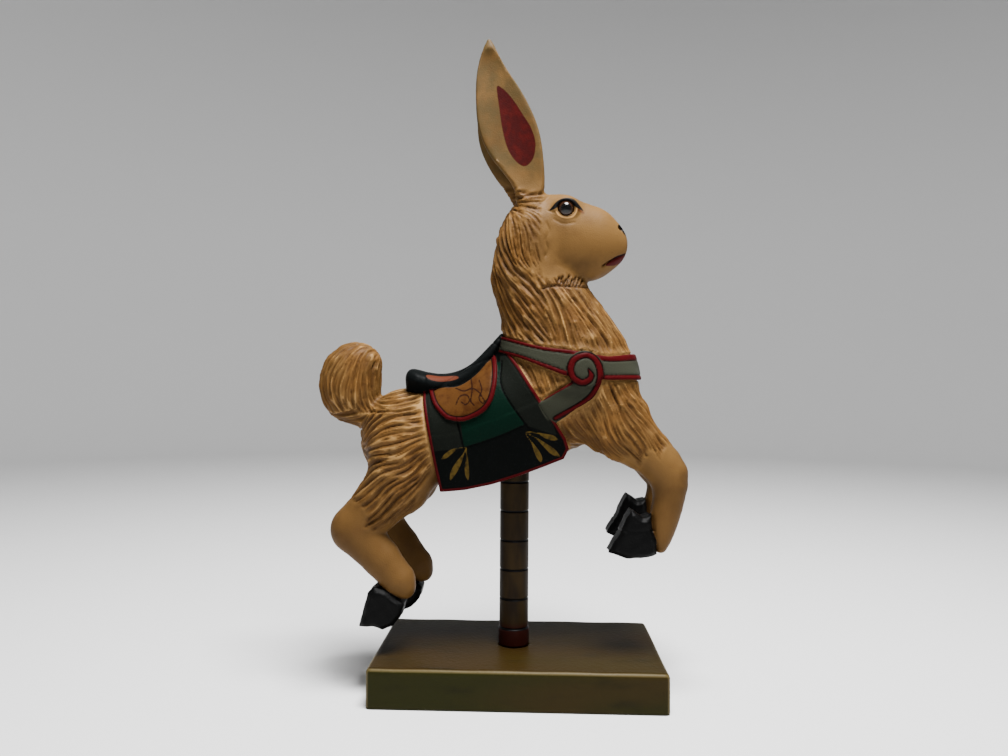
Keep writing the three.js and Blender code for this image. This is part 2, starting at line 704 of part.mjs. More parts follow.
// A prism across the figure, from its outline seen from the side. A bevel cuts its two long edges.
function prism(outline, low, high, bevel = 0) {
  const shape = new THREE.Shape(outline.map(([x, z]) => new THREE.Vector2(x, z)));
  const geometry = new THREE.ExtrudeGeometry(shape, {
    depth: high - low - 2 * bevel,
    steps: 1,
    bevelEnabled: bevel > 0,
    bevelThickness: bevel,
    bevelSize: bevel,
    bevelOffset: -bevel,
    bevelSegments: 1,
  });
  geometry.rotateX(Math.PI / 2);
  geometry.translate(0, high - bevel, 0);
  return solidFrom(geometry);
}

const ACROSS = 60;
const across = (outline) => prism(outline, -ACROSS, ACROSS);

// A smooth solid a given way outside a surface, or inside it where the reach is negative. It ends in a box.
function shell(distance, reach, low, high, triangles = SHELL_TRIANGLES) {
  const box = { low: low.map((v) => v + SHELL_STEP), high: high.map((v) => v - SHELL_STEP) };
  const within = (x, y, z) => Math.max(distance(x, y, z) - reach, boxDistance(box, x, y, z) || -SHELL_STEP);
  return solidOf(simplify(cutSurface(within, low, high, SHELL_STEP), triangles));
}

function hoofSolid({ outline, x, y, z }) {
  const moved = outline.map(([px, pz]) => [px + x, pz + z]);
  return prism(moved, y - HOOF_HALF_WIDTH, y + HOOF_HALF_WIDTH, HOOF_BEVEL);
}

// The seat: sections across it from the cantle to the pommel, each crowned on top
function saddleSolid() {
  const steps = 8;
  const sections = SADDLE_STATIONS.map((x) => {
    const half = (SADDLE_WIDTH / 2) * lineHeight(SADDLE_SHARES, x);
    const [top, rim] = [lineHeight(SADDLE_TOP, x), lineHeight(SADDLE_RIM, x)];
    const root = half * SADDLE_ROOT_SHARE;
    const ring = [[x, -root, rim - SADDLE_ROOT], [x, root, rim - SADDLE_ROOT], [x, half, rim]];
    for (let n = 0; n <= steps; n++) {
      const share = 1 - (2 * n) / steps;
      const crown = SADDLE_CROWN * share ** 4 * (half / SADDLE_WIDTH) * 2;
      ring.push([x, half * share * SADDLE_LIP_SHARE, top - crown]);
    }
    ring.push([x, -half, rim]);
    return ring;
  });
  const around = sections[0].length;
  const faces = [];
  for (let s = 0; s + 1 < sections.length; s++) {
    for (let n = 0; n < around; n++) {
      const a = s * around + n;
      const b = s * around + ((n + 1) % around);
      faces.push([a, b, b + around], [a, b + around, a + around]);
    }
  }
  const last = (sections.length - 1) * around;
  for (let n = 1; n + 1 < around; n++) faces.push([0, n + 1, n], [last, last + n, last + n + 1]);
  return solidOf({ positions: sections.flat(2), faces });
}

// The scroll's groove winds from the rim to the middle.
function scrollGroove() {
  const steps = 30;
  const [outer, inner] = [[], []];
  for (let n = 0; n <= steps; n++) {
    const wound = (n / steps) * SCROLL.turns;
    const turn = 2 * Math.PI * wound + SCROLL.start;
    const reach = SCROLL.radius - SCROLL.rim - SCROLL.pitch * wound;
    const wide = (SCROLL.groove / 2) * Math.min(1, GROOVE_TAPER * (1 - n / steps) + GROOVE_TIP);
    outer.push([SCROLL.x + (reach + wide) * Math.cos(turn), SCROLL.z + (reach + wide) * Math.sin(turn)]);
    inner.push([SCROLL.x + (reach - wide) * Math.cos(turn), SCROLL.z + (reach - wide) * Math.sin(turn)]);
  }
  return [...outer, ...inner.reverse()];
}

function tackSolids() {
  const body = (reach) => shell((x, y, z) => bodyDistance(x, y, z, 0), reach, TRUNK_LOW, TRUNK_HIGH);
  const cloth = shell(clothDistance, 0, TRUNK_LOW, TRUNK_HIGH, CLOTH_TRIANGLES).intersect(across(CLOTH));
  const flap = body(CLOTH_THICKNESS + FLAP_THICKNESS).intersect(across(FLAP));
  const strap = body(STRAP_THICKNESS);
  const collar = strap.intersect(across([...COLLAR_TOP, ...[...COLLAR_FOOT].reverse()]));
  const lower = strap.intersect(across(LOWER_STRAP));
  const disc = [...Array(SCROLL_SEGMENTS).keys()].map((n) => [
    SCROLL.x + SCROLL.radius * Math.cos((2 * Math.PI * n) / SCROLL_SEGMENTS),
    SCROLL.z + SCROLL.radius * Math.sin((2 * Math.PI * n) / SCROLL_SEGMENTS),
  ]);
  const groove = across(scrollGroove()).subtract(body(STRAP_THICKNESS - GROOVE_FLOOR));
  const scroll = body(SCROLL_THICKNESS).intersect(across(disc)).subtract(groove);
  const straps = collar.add(lower).subtract(groove).add(scroll);
  return [cloth, flap, straps, saddleSolid()];
}

// The rabbit, with sockets for the pole and the eyes
function rabbitSolid() {
  const cut = cutSurface(carving, CARVING_LOW, CARVING_HIGH, CUT_STEP);
  let solid = solidOf(simplify(cut, FIRST_TRIANGLES));
  for (const tack of tackSolids()) solid = solid.add(tack);
  for (const hoof of HOOVES) solid = solid.add(hoofSolid(hoof));
  const core = shell(faceDistance, -MOUTH_DEPTH, HEAD_LOW, HEAD_HIGH, MOUTH_TRIANGLES);
  solid = solid.subtract(across(MOUTH).subtract(core));
  for (const side of [-1, 1]) {
    const nostril = new THREE.SphereGeometry(NOSTRIL.radius, 8, 6);
    nostril.translate(NOSTRIL.x, side * NOSTRIL.y, NOSTRIL.z);
    solid = solid.subtract(solidFrom(nostril));
  }
  const [largest] = solid.decompose().sort((a, b) => b.volume() - a.volume());
  solid = solidOf(simplify(surfaceOf(largest), CARVING_TRIANGLES));
  solid = solid.scale(figureScale).translate([POLE_OFFSET, 0, seatHeight]);
  const bore = poleRadius + CLEARANCE;
  const top = seatHeight + BELLY_SOCKET_DEPTH + CLEARANCE;
  const foot = PLINTH_HEIGHT + 2 * FOOT_HEIGHT;
  solid = solid.subtract(turned([[0, foot], [bore, foot], [bore, top], [0, top]], POLE_OFFSET));
  for (const side of [-1, 1]) solid = solid.subtract(eyeSolid(side, CLEARANCE));
  return solid;
}

// Glass eye, set in from the side
const EYE_SEGMENTS = 14;
const EYE_RINGS = 9;
function eyeSolid(side, clearance) {
  const geometry = new THREE.SphereGeometry(EYE_DIAMETER / 2 + clearance, EYE_SEGMENTS, EYE_RINGS);
  geometry.translate(
    POLE_OFFSET + EYE.x * figureScale,
    side * EYE.y * figureScale,
    seatHeight + EYE.z * figureScale,
  );
  return solidFrom(geometry);
}

// Pole with ring grooves and a slightly wider foot
function poleSolid() {
  const bottom = PLINTH_HEIGHT - PLINTH_SOCKET_DEPTH + CLEARANCE;
  const top = seatHeight + BELLY_SOCKET_DEPTH;
  const firstRing = PLINTH_HEIGHT + FOOT_HEIGHT;
  const profile = [
    [0, bottom],
    [poleRadius, bottom],
    [poleRadius, PLINTH_HEIGHT + CLEARANCE],
    [poleRadius + FOOT_THICKNESS, PLINTH_HEIGHT + 2 * CLEARANCE],
    [poleRadius + FOOT_THICKNESS, firstRing - RING_WIDTH / 2],
  ];
  for (let z = firstRing; z < seatHeight; z += RING_PITCH) {
    if (z > firstRing) profile.push([poleRadius, z - RING_WIDTH / 2]);
    profile.push([poleRadius - RING_DEPTH, z], [poleRadius, z + RING_WIDTH / 2]);
  }
  profile.push([poleRadius, top], [0, top]);
  return turned(profile, POLE_OFFSET);
}

// Plinth: a board with rounded corners and a rounded upper edge, bored for the pole
function plinthSolid() {
  const levels = [[PLINTH_FOOT_CHAMFER, 0], [0, PLINTH_FOOT_CHAMFER]];
  const steps = 4;
  for (let n = 0; n <= steps; n++) {
    const turn = (n / steps) * (Math.PI / 2);
    levels.push([
      PLINTH_EDGE_RADIUS * (1 - Math.cos(turn)),
      PLINTH_HEIGHT - PLINTH_EDGE_RADIUS * (1 - Math.sin(turn)),
    ]);
  }
  const perCorner = 5;
  const ringCount = 4 * perCorner;
  const positions = [];
  for (const [inset, z] of levels) {
    for (let n = 0; n < ringCount; n++) {
      const corner = Math.floor(n / perCorner);
      const turn = (corner + (n % perCorner) / (perCorner - 1)) * (Math.PI / 2);
      const sx = [1, -1, -1, 1][corner];
      const sy = [1, 1, -1, -1][corner];
      const radius = PLINTH_CORNER_RADIUS - inset / 2;
      const x = sx * (PLINTH_LENGTH / 2 - inset - radius) + radius * Math.cos(turn);
      const y = sy * (PLINTH_DEPTH / 2 - inset - radius) + radius * Math.sin(turn);
      positions.push(x, y, z);
    }
  }
  const faces = [];
  for (let level = 0; level + 1 < levels.length; level++) {
    for (let n = 0; n < ringCount; n++) {
      const a = level * ringCount + n;
      const b = level * ringCount + ((n + 1) % ringCount);
      faces.push([a, b, b + ringCount], [a, b + ringCount, a + ringCount]);
    }
  }
  const last = (levels.length - 1) * ringCount;
  for (let n = 1; n + 1 < ringCount; n++) faces.push([0, n + 1, n], [last, last + n, last + n + 1]);
  const bore = poleRadius + CLEARANCE;
  const floor = PLINTH_HEIGHT - PLINTH_SOCKET_DEPTH;
  const above = PLINTH_HEIGHT + PLINTH_SOCKET_DEPTH;
  const socket = turned([[0, floor], [bore, floor], [bore, above], [0, above]], POLE_OFFSET);
  return solidOf({ positions, faces }).subtract(socket);
}

const PAINTED_WOOD = { color: 0xc79f6c, roughness: 0.55, metalness: 0 };
const DARK_GLASS = { color: 0x120c08, roughness: 0.08, metalness: 0 };
const STAINED_POLE = { color: 0x4b3a1e, roughness: 0.5, metalness: 0 };
const STAINED_BOARD = { color: 0x4a3f1e, roughness: 0.5, metalness: 0 };

const group = new THREE.Group();
group.name = 'carousel_rabbit';
group.add(
  meshOf('rabbit', rabbitSolid(), PAINTED_WOOD),
  meshOf('right_eye', eyeSolid(-1, 0), DARK_GLASS),
  meshOf('left_eye', eyeSolid(1, 0), DARK_GLASS),
  meshOf('pole', poleSolid(), STAINED_POLE),
  meshOf('plinth', plinthSolid(), STAINED_BOARD),
);

export default group;
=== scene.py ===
import math

import bpy
import numpy as np
from mathutils import Matrix, Vector
from mathutils.kdtree import KDTree


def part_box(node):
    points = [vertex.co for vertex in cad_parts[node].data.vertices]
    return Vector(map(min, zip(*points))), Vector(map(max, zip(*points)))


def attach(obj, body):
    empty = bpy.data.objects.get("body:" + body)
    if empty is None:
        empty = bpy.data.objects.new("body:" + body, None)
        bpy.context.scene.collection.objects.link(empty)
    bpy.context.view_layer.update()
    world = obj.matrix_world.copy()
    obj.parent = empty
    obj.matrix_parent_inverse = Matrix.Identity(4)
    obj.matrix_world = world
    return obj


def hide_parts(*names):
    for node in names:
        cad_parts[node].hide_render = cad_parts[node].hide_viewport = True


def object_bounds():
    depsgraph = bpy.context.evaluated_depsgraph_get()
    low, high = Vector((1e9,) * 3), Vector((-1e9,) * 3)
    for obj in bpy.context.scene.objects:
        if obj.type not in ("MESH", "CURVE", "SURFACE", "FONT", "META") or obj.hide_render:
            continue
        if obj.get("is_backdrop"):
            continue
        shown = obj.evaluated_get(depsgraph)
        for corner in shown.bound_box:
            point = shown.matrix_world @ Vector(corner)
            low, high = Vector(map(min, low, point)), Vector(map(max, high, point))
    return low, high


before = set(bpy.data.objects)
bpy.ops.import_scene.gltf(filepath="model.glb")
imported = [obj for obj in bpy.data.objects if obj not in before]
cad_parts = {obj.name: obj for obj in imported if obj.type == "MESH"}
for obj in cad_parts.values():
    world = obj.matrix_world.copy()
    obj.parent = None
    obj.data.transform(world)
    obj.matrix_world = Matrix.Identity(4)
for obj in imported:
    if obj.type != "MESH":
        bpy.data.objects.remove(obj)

CAD_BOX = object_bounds()
MM = 0.001
POLE_LOW, POLE_HIGH = (np.array(corner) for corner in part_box("pole"))
PLINTH_LOW, PLINTH_HIGH = (np.array(corner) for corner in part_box("plinth"))
RABBIT_LOW = np.array(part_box("rabbit")[0])
POLE_AXIS = (POLE_LOW + POLE_HIGH) / 2
LOWEST_HOOF = -105.9
ORIGIN = np.array([POLE_AXIS[0], POLE_AXIS[1], RABBIT_LOW[2] - LOWEST_HOOF * MM])
SEED = 11

# Distance fields


def blend(a, b, reach):
    """Joins two distances with a fillet about as wide as reach."""
    h = np.maximum(reach - np.abs(a - b), 0) / reach
    return np.minimum(a, b) - h * h * reach / 4


FAR = 14
FAR_OFF = 1e3
TINY = 1e-6
JOINT_REACH = 2


def near_box(low, high, points, exact):
    """The exact distance near a box, and the distance to the box further off."""
    gap = np.maximum(np.maximum(low - points, points - high), 0)
    result = np.sqrt((gap * gap).sum(1))
    near = result <= FAR
    result[near] = exact(points[near])
    return result


class Limb:
    """A row of stations: place, half thickness seen from the side, half width across."""

    def __init__(self, stations):
        self.stations = np.array(stations, float)
        places, half, width = self.stations[:, :3], self.stations[:, 3:4], self.stations[:, 4:5]
        margin = np.hstack([half, width, half])
        self.low = (places - margin).min(0)
        self.high = (places + margin).max(0)

    def distance(self, points):
        return near_box(self.low, self.high, points, self.exact)

    def exact(self, p):
        best = np.full(len(p), FAR_OFF)
        for a, b in zip(self.stations[:-1], self.stations[1:]):
            along = b[:3] - a[:3]
            t = np.clip(((p - a[:3]) @ along) / (along @ along), 0, 1)
            q = p - a[:3] - t[:, None] * along
            h = a[3] + (b[3] - a[3]) * t
            w = a[4] + (b[4] - a[4]) * t
            side = q[:, 0] ** 2 + q[:, 2] ** 2
            k0 = np.sqrt(side / h**2 + (q[:, 1] / w) ** 2)
            k1 = np.sqrt(side / h**4 + q[:, 1] ** 2 / w**4)
            best = blend(best, k0 * (k0 - 1) / np.maximum(k1, TINY), JOINT_REACH)
        return best


class Column:
    """An upright stack of oval slices: height, back, front, half width across."""

    SLOPE = 0.93

    def __init__(self, slices):
        self.slices = np.array(slices, float)
        z, back, front, width = self.slices.T
        self.low = np.array([back.min(), -width.max(), z[0]])
        self.high = np.array([front.max(), width.max(), z[-1]])

    def distance(self, points):
        return near_box(self.low, self.high, points, self.exact)

    def exact(self, p):
        x, y, z = p.T
        heights, backs, fronts, widths = self.slices.T
        back, front = np.interp(z, heights, backs), np.interp(z, heights, fronts)
        w = np.interp(z, heights, widths)
        h = (front - back) / 2
        qx = x - (front + back) / 2
        k0 = np.hypot(qx / h, y / w)
        k1 = np.maximum(np.hypot(qx / h**2, y / w**2), TINY)
        side = self.SLOPE * k0 * (k0 - 1) / k1
        return np.maximum(side, np.maximum(self.low[2] - z, z - self.high[2]))


def spline(a, b, c, d, t):
    """A place between b and c on the smooth curve through all four."""
    return 0.5 * (2 * b + (c - a) * t + (2 * a - 5 * b + 4 * c - d) * t**2 + (3 * b - a - 3 * c + d) * t**3)


def eased(stations, steps=3):
    """More stations between the given ones, on smooth curves through them."""
    rows = np.array(stations, float)
    before = np.vstack([2 * rows[:1] - rows[1:2], rows[:-2]])
    after = np.vstack([rows[2:], 2 * rows[-1:] - rows[-2:-1]])
    found = [spline(a, b, c, d, t) for a, b, c, d in zip(before, rows[:-1], rows[1:], after)
             for t in np.arange(steps) / steps]
    return np.vstack([found, rows[-1:]])


def smooth_curve(points, closed=True, steps=6):
    """A rounder line through points (Catmull-Rom). A point with a third value is kept as a corner."""
    places = [np.array(p[:2], float) for p in points]
    corner = [len(p) > 2 for p in points]
    count = len(places)
    curve = []
    for i in range(count if closed else count - 1):
        a, b = places[i], places[(i + 1) % count]
        before = places[i - 1] if (closed or i > 0) and not corner[i] else 2 * a - b
        last = i + 1 == count - 1 and not closed
        after = places[(i + 2) % count] if not last and not corner[(i + 1) % count] else 2 * b - a
        curve += [spline(before, a, b, after, n / steps) for n in range(steps)]
    if not closed:
        curve.append(places[-1])
    return np.array(curve)


def line_distance(line, x, z, closed=False):
    """Distance to a line seen from the side. A point's third value is half the line's width there."""
    nearest = np.full(x.shape, FAR_OFF)
    ends = np.roll(line, -1, axis=0) if closed else line[1:]
    for (ax, az, *start), (bx, bz, *end) in zip(line, ends):
        dx, dz = bx - ax, bz - az
        t = np.clip(((x - ax) * dx + (z - az) * dz) / max(dx * dx + dz * dz, 1e-9), 0, 1)
        gap = np.hypot(x - ax - t * dx, z - az - t * dz)
        if start:
            gap = gap - start[0] - (end[0] - start[0]) * t
        nearest = np.minimum(nearest, gap)
    return nearest


def outline_distance(outline, x, z, margin=12):
    """Signed distance to a closed outline seen from the side, negative inside."""
    low, high = outline.min(0) - margin, outline.max(0) + margin
    result = np.maximum(np.maximum(low[0] - x, x - high[0]), np.maximum(low[1] - z, z - high[1])) + margin
    near = result <= margin
    px, pz = x[near], z[near]
    inside = np.zeros(px.shape, bool)
    for (ax, az), (bx, bz) in zip(outline, np.roll(outline, -1, axis=0)):
        spans = (az > pz) != (bz > pz)
        inside ^= spans & (px < (bx - ax) * (pz - az) / (bz - az if bz != az else 1e-9) + ax)
    distance = line_distance(outline, px, pz, closed=True)
    result[near] = np.where(inside, -distance, distance)
    return result


# The carving, as in the CAD model

TORSO = Limb([
    [-78, 0, 26.5, 34, 31],
    [-47, 0, 28, 35, 33],
    [-12, 0, 40, 38, 34],
    [23, 0, 55, 40, 33],
    [46.5, 0, 64, 39.5, 31],
])
NECK = Column([
    [68, -9, 84.5, 31],
    [84, -9, 82.5, 30],
    [98, -8.5, 78.8, 29],
    [112, -10, 69.5, 27],
    [120, -12, 63.5, 26],
    [127, -14, 58.5, 25],
    [134, -16, 53.5, 23.5],
    [142, -17.5, 49.5, 22.5],
    [149, -16.7, 44, 22],
    [163, -14.7, 40, 21.5],
    [171, -13.7, 38, 21],
    [178, -11.7, 34, 20],
    [185, -8.7, 30, 18],
    [193, -3, 24, 14],
    [199, 3, 18, 8],
])
HEAD = Limb([
    [25, 0, 172.4, 31.7, 20.5],
    [38, 0, 169.5, 30.7, 20],
    [50, 0, 168.5, 28, 17.5],
    [61.5, 0, 167.5, 19.8, 12.5],
])
TAIL = Limb(eased([
    [-99, 0, 36, 8, 9],
    [-113, 0, 49.5, 14.5, 12],
    [-121, 0, 58.5, 20.5, 15],
    [-120, 0, 73, 20.5, 15],
    [-112, 0, 80.5, 11.5, 11],
]))


HIND_LEG = [
    [-74, 19, 15, 29.5, 14],
    [-81.5, 22, -5, 22.5, 13],
    [-96, 23, -21, 17.5, 12],
    [-111.5, 24, -37.5, 16.3, 11],
    [-93, 24, -57.5, 12.7, 10],
    [-80, 24, -73, 11, 9.5],
    [-76, 24, -78, 7, 8],
]
FORE_LEG = [
    [62.5, 17, 49, 29.5, 14],
    [78.5, 21, 31, 20, 12.5],
    [96, 22, 16.5, 14.4, 11],
    [107, 22, 3, 13.2, 10],
    [108, 22, -12, 10.2, 9],
    [105.2, 22, -26, 9.3, 8.5],
    [103, 22, -38, 7.2, 8],
    [102, 22, -47, 4, 7],
]
HIND_FIXED, FORE_FIXED = 3, 4
LEFT_STEP = 6
LEFT_REACH = 3
LEFT_LIFT = 5


def leg(stations, fixed, side, shift=0, lift=0):
    """A leg on one side, whose stations after the fixed ones are moved."""
    rows = np.array(stations, float)
    rows[:, 1] *= side
    rows[fixed:, 0] += shift
    rows[fixed:, 2] += lift
    return rows


LEGS = [
    Limb(leg(HIND_LEG, HIND_FIXED, -1)),
    Limb(leg(HIND_LEG, HIND_FIXED, 1, LEFT_STEP)),
    Limb(eased(leg(FORE_LEG, FORE_FIXED, -1), 2)),
    Limb(eased(leg(FORE_LEG, FORE_FIXED, 1, LEFT_REACH, LEFT_LIFT), 2)),
]

HIND_HOOF = np.array([
    [-96.5, -75.5], [-101, -80], [-104.8, -95], [-107.2, -103.5], [-97, -103.5], [-90, -105.4],
    [-83, -102.6], [-77.5, -96.5], [-75, -87.5], [-82, -82], [-89, -77.5],
])
FORE_HOOF = np.array([
    [81, -20.5], [77.3, -26.8], [73, -37], [67.7, -45], [65.3, -50.4], [73, -53.2], [80, -54.7],
    [92.6, -53.7], [99, -51], [98, -42], [95.5, -34], [95, -24], [88.8, -26],
])
HOOF_HALF_WIDTH = 11
HOOF_BEVEL = 3
HOOF_CHIPS = 0.28
HOOVES = [
    (HIND_HOOF, -24, 0, 0),
    (HIND_HOOF, 24, LEFT_STEP, -0.5),
    (FORE_HOOF, -22, 0, 0),
    (FORE_HOOF, 22, LEFT_REACH, LEFT_LIFT),
]

EAR_HOLLOW = 2.6
EAR_HOLLOW_REACH = 3
EAR_HOLLOW_WIDTH = 1.5
EAR_STATIONS = [
    [
        [10.5, -8, 198, 9, 7.5],
        [8.5, -9, 213, 11.5, 6],
        [3.5, -10, 227, 15.5, 5],
        [-2.5, -10, 241, 19.3, 4.6],
        [-8, -10, 255, 19.6, 4.4],
        [-12.5, -10, 270, 16.6, 4],
        [-17, -10, 285, 12, 3.4],
        [-19.5, -10, 299, 7.2, 2.6],
        [-20.3, -10, 313, 1.8, 1.6],
    ],
    [
        [9.5, 8, 198, 9, 7.5],
        [3, 9, 213, 11, 6],
        [-4, 10, 230, 15.5, 5],
        [-9, 10, 247, 18.5, 4.6],
        [-12.5, 10, 264, 16.8, 4.2],
        [-16.5, 10, 284, 12, 3.4],
        [-19, 10, 300, 6.5, 2.6],
        [-20, 10, 311, 1.8, 1.6],
    ],
]


def ear_hollow(stations):
    """The shallow hollow along the ear's outer face, which leaves a narrow rim."""
    out = EAR_HOLLOW_REACH
    return Limb([[x, y + np.sign(y) * (w + out), z, EAR_HOLLOW_WIDTH * h, out + min(EAR_HOLLOW, 0.6 * w)]
                 for x, y, z, h, w in stations])


EARS = [(Limb(eased(stations)), ear_hollow(eased(stations[1:-1]))) for stations in EAR_STATIONS]
BROW = np.array([35, 7, 191])
BROW_RADIUS = 10.5
FILLETS = {"neck": 10, "leg": 7, "brow": 6, "head": 4, "tail": 4, "ear": 5, "lid": 2}


def trunk_distance(p):
    return blend(TORSO.distance(p), NECK.distance(p), FILLETS["neck"])


def body_distance(p):
    body = trunk_distance(p)
    for limb in LEGS:
        body = blend(body, limb.distance(p), FILLETS["leg"])
    return body


def mirrored(p):
    """The same places on the right half, where y is positive outwards."""
    q = p.copy()
    q[:, 1] = np.abs(q[:, 1])
    return q


def ball_distance(p, middle, radius, stretch=1):
    """Distance to a ball and its mirror image."""
    return np.linalg.norm((mirrored(p) - middle) * stretch, axis=1) - radius


def face_distance(p):
    return blend(HEAD.distance(p), ball_distance(p, BROW, BROW_RADIUS), FILLETS["brow"])


CHIP_WAVES = (3.1, 4.3, 3.7, 6.1, 4)


def hoof_distance(hoof, p):
    outline, middle, shift, lift = hoof
    x, y, z = p.T
    side = outline_distance(outline + [shift, lift], x, z)
    across = np.abs(y - middle) - HOOF_HALF_WIDTH
    bevel = (side + across + HOOF_BEVEL) / math.sqrt(2)
    a, b, c, d, e = CHIP_WAVES
    chips = np.abs(np.sin(x / a + z / b)) + np.abs(np.sin(z / c - x / d + y / e))
    return np.maximum(np.maximum(side, across), bevel) + HOOF_CHIPS * chips


EYE = np.array([35.5, 15, 190])
EYE_RADIUS = 6.4
LID_RADIUS = 7.3
LID_THICKNESS = 1.5
LID_LENGTH, LID_HEIGHT = 1.08, 0.92
EYELID_SHIFT = np.array([0, 1.6, 0])
NOSTRIL = np.array([75.5, 5.5, 178])
NOSTRIL_RADIUS = 2.6
NOSTRIL_STRETCH = np.array([0.8, 1, 1.3])
FUR_RISE = 0.5


def eyelid_distance(p):
    """A rounded rim round the eyeball, a little lower at its ends than the ball is high."""
    q = mirrored(p) - (EYE + EYELID_SHIFT)
    ring = np.hypot(q[:, 0] / LID_LENGTH, q[:, 2] / LID_HEIGHT) - LID_RADIUS
    return np.hypot(ring, q[:, 1]) - LID_THICKNESS


def figure_distance(p):
    """The whole figure but for its tack."""
    body = blend(body_distance(p) - FUR_RISE, face_distance(p), FILLETS["head"])
    body = blend(body, TAIL.distance(p) - FUR_RISE, FILLETS["tail"])
    for leaf, hollow in EARS:
        ear = np.maximum(leaf.distance(p), -hollow.distance(p))
        body = blend(body, ear, FILLETS["ear"])
    body = blend(body, eyelid_distance(p), FILLETS["lid"])
    eye = ball_distance(p, EYE, EYE_RADIUS)
    nostril = ball_distance(p, NOSTRIL, NOSTRIL_RADIUS, NOSTRIL_STRETCH)
    body = np.maximum(np.maximum(body, -eye), -nostril)
    for hoof in HOOVES:
        body = np.minimum(body, hoof_distance(hoof, p))
    return body


# Tack: outlines drawn on the right side, the same on the left
CLOTH_EDGE = np.array([
    [-65.5, 62], [-64.5, 54], [-62, 43], [-58.5, 27], [-55, 9], [-51, -10], [-34, -8.5], [-15.5, -4.5],
    [3.5, 1.5], [22, 8.5], [34.5, 13.5], [38, 20.5], [35.5, 28], [29, 38.5], [22, 48.5], [13, 62],
    [3.5, 77], [-4, 87], [-10.5, 95], [-40, 110], [-68, 90],
])
FLAP_EDGE = smooth_curve([
    [-61, 61, 1], [-56, 50.5], [-49, 43], [-44.5, 40.5], [-36, 39.5], [-28, 42], [-20, 47], [-15, 54.5],
    [-12.5, 67], [-13, 79], [-15, 88, 1], [-35, 80, 1],
])
COLLAR_TOP = smooth_curve(
    [[-12, 100], [4, 95], [20, 91], [37, 89], [47, 87.5], [62, 85], [72, 85.5], [96, 89]], False)
COLLAR_FOOT = smooth_curve(
    [[-12, 88.5], [3.5, 83.5], [20, 77], [36, 71], [47, 69], [62, 68.5], [96, 69]], False)
COLLAR = np.vstack([COLLAR_TOP, COLLAR_FOOT[::-1]])
LOWER_STRAP = smooth_curve(
    [[16, 51.5, 1], [22, 56], [29.5, 60.5], [37.5, 66], [47, 76, 1], [61, 72, 1], [59.8, 64.5], [55.4, 57],
     [49.6, 52], [42, 47.3], [32.4, 41], [24, 35.8, 1]])
SCROLL_CENTRE = (48.3, 75.7)
SCROLL_RADIUS = 12.6
CLOTH_THICKNESS = 2.8
CLOTH_SKIRT_THICKNESS = 6
FLAP_THICKNESS = 2
STRAP_THICKNESS = 3.6
SCROLL_THICKNESS = 5.4
EDGE_WEAR = 1.2
NO_SADDLE = 90

SADDLE_TOP = smooth_curve(
    [[-79, 74], [-74, 76], [-65, 74], [-54, 72.6], [-43, 74.2], [-32, 79.8], [-22, 89.5], [-12, 100.5],
     [-9, 104]], False)
SADDLE_RIM = smooth_curve(
    [[-79, 68.5], [-71, 67], [-61, 64.2], [-46, 62.4], [-36, 65], [-25, 74], [-16, 87], [-9, 99]], False)
SADDLE_SHARES = np.array(
    [[-79, 0.62], [-76, 0.84], [-70, 0.97], [-60, 1], [-45, 0.95], [-30, 0.82], [-18, 0.66], [-9, 0.5]])
SADDLE_ENDS = (-79, -9)
SADDLE_WIDTH = 44
SADDLE_CROWN = 6
SADDLE_ROOT = 12
SADDLE_TAPER = 0.5
SADDLE_SLOPE = 0.8
SADDLE_WEAR = 3


def meet(a, b, reach=EDGE_WEAR):
    """What two shapes share, with a worn edge where they meet."""
    return -blend(-a, -b, reach)


SKIRT_DRAW = 4
SKIRT_DROP = 36


def cloth_distance(p, body):
    """The cloth lies on the body and its skirts hang beside the belly, drawn in towards their edge."""
    x, y, z = p[:, 0], np.abs(p[:, 1]), p[:, 2]
    stations = TORSO.stations
    middle = np.interp(x, stations[:, 0], stations[:, 2])
    drop = np.maximum(0, middle - z) / SKIRT_DROP
    face = np.interp(x, stations[:, 0], stations[:, 4]) + CLOTH_THICKNESS - SKIRT_DRAW * drop**2
    skirt = np.maximum(np.maximum(y - face, face - CLOTH_SKIRT_THICKNESS - y), z - middle)
    return blend(body - CLOTH_THICKNESS, skirt, 2)


def saddle_distance(p):
    x, y, z = p[:, 0], np.abs(p[:, 1]), p[:, 2]
    half = SADDLE_WIDTH / 2 * np.interp(x, *SADDLE_SHARES.T)
    top, rim = np.interp(x, *SADDLE_TOP.T), np.interp(x, *SADDLE_RIM.T)
    crown = z - top + 2 * SADDLE_CROWN * (y / half)**4 * half / SADDLE_WIDTH
    side = y - half + SADDLE_TAPER * half * np.maximum(rim - z, 0) / SADDLE_ROOT
    ends = np.maximum(SADDLE_ENDS[0] - x, x - SADDLE_ENDS[1])
    ends = np.maximum(ends, rim - SADDLE_ROOT - z)
    return meet(meet(crown * SADDLE_SLOPE, side, SADDLE_WEAR), ends, SADDLE_WEAR)


def from_scroll(x, z):
    """How far outside the scroll's disc a place is, seen from the side."""
    return np.hypot(x - SCROLL_CENTRE[0], z - SCROLL_CENTRE[1]) - SCROLL_RADIUS


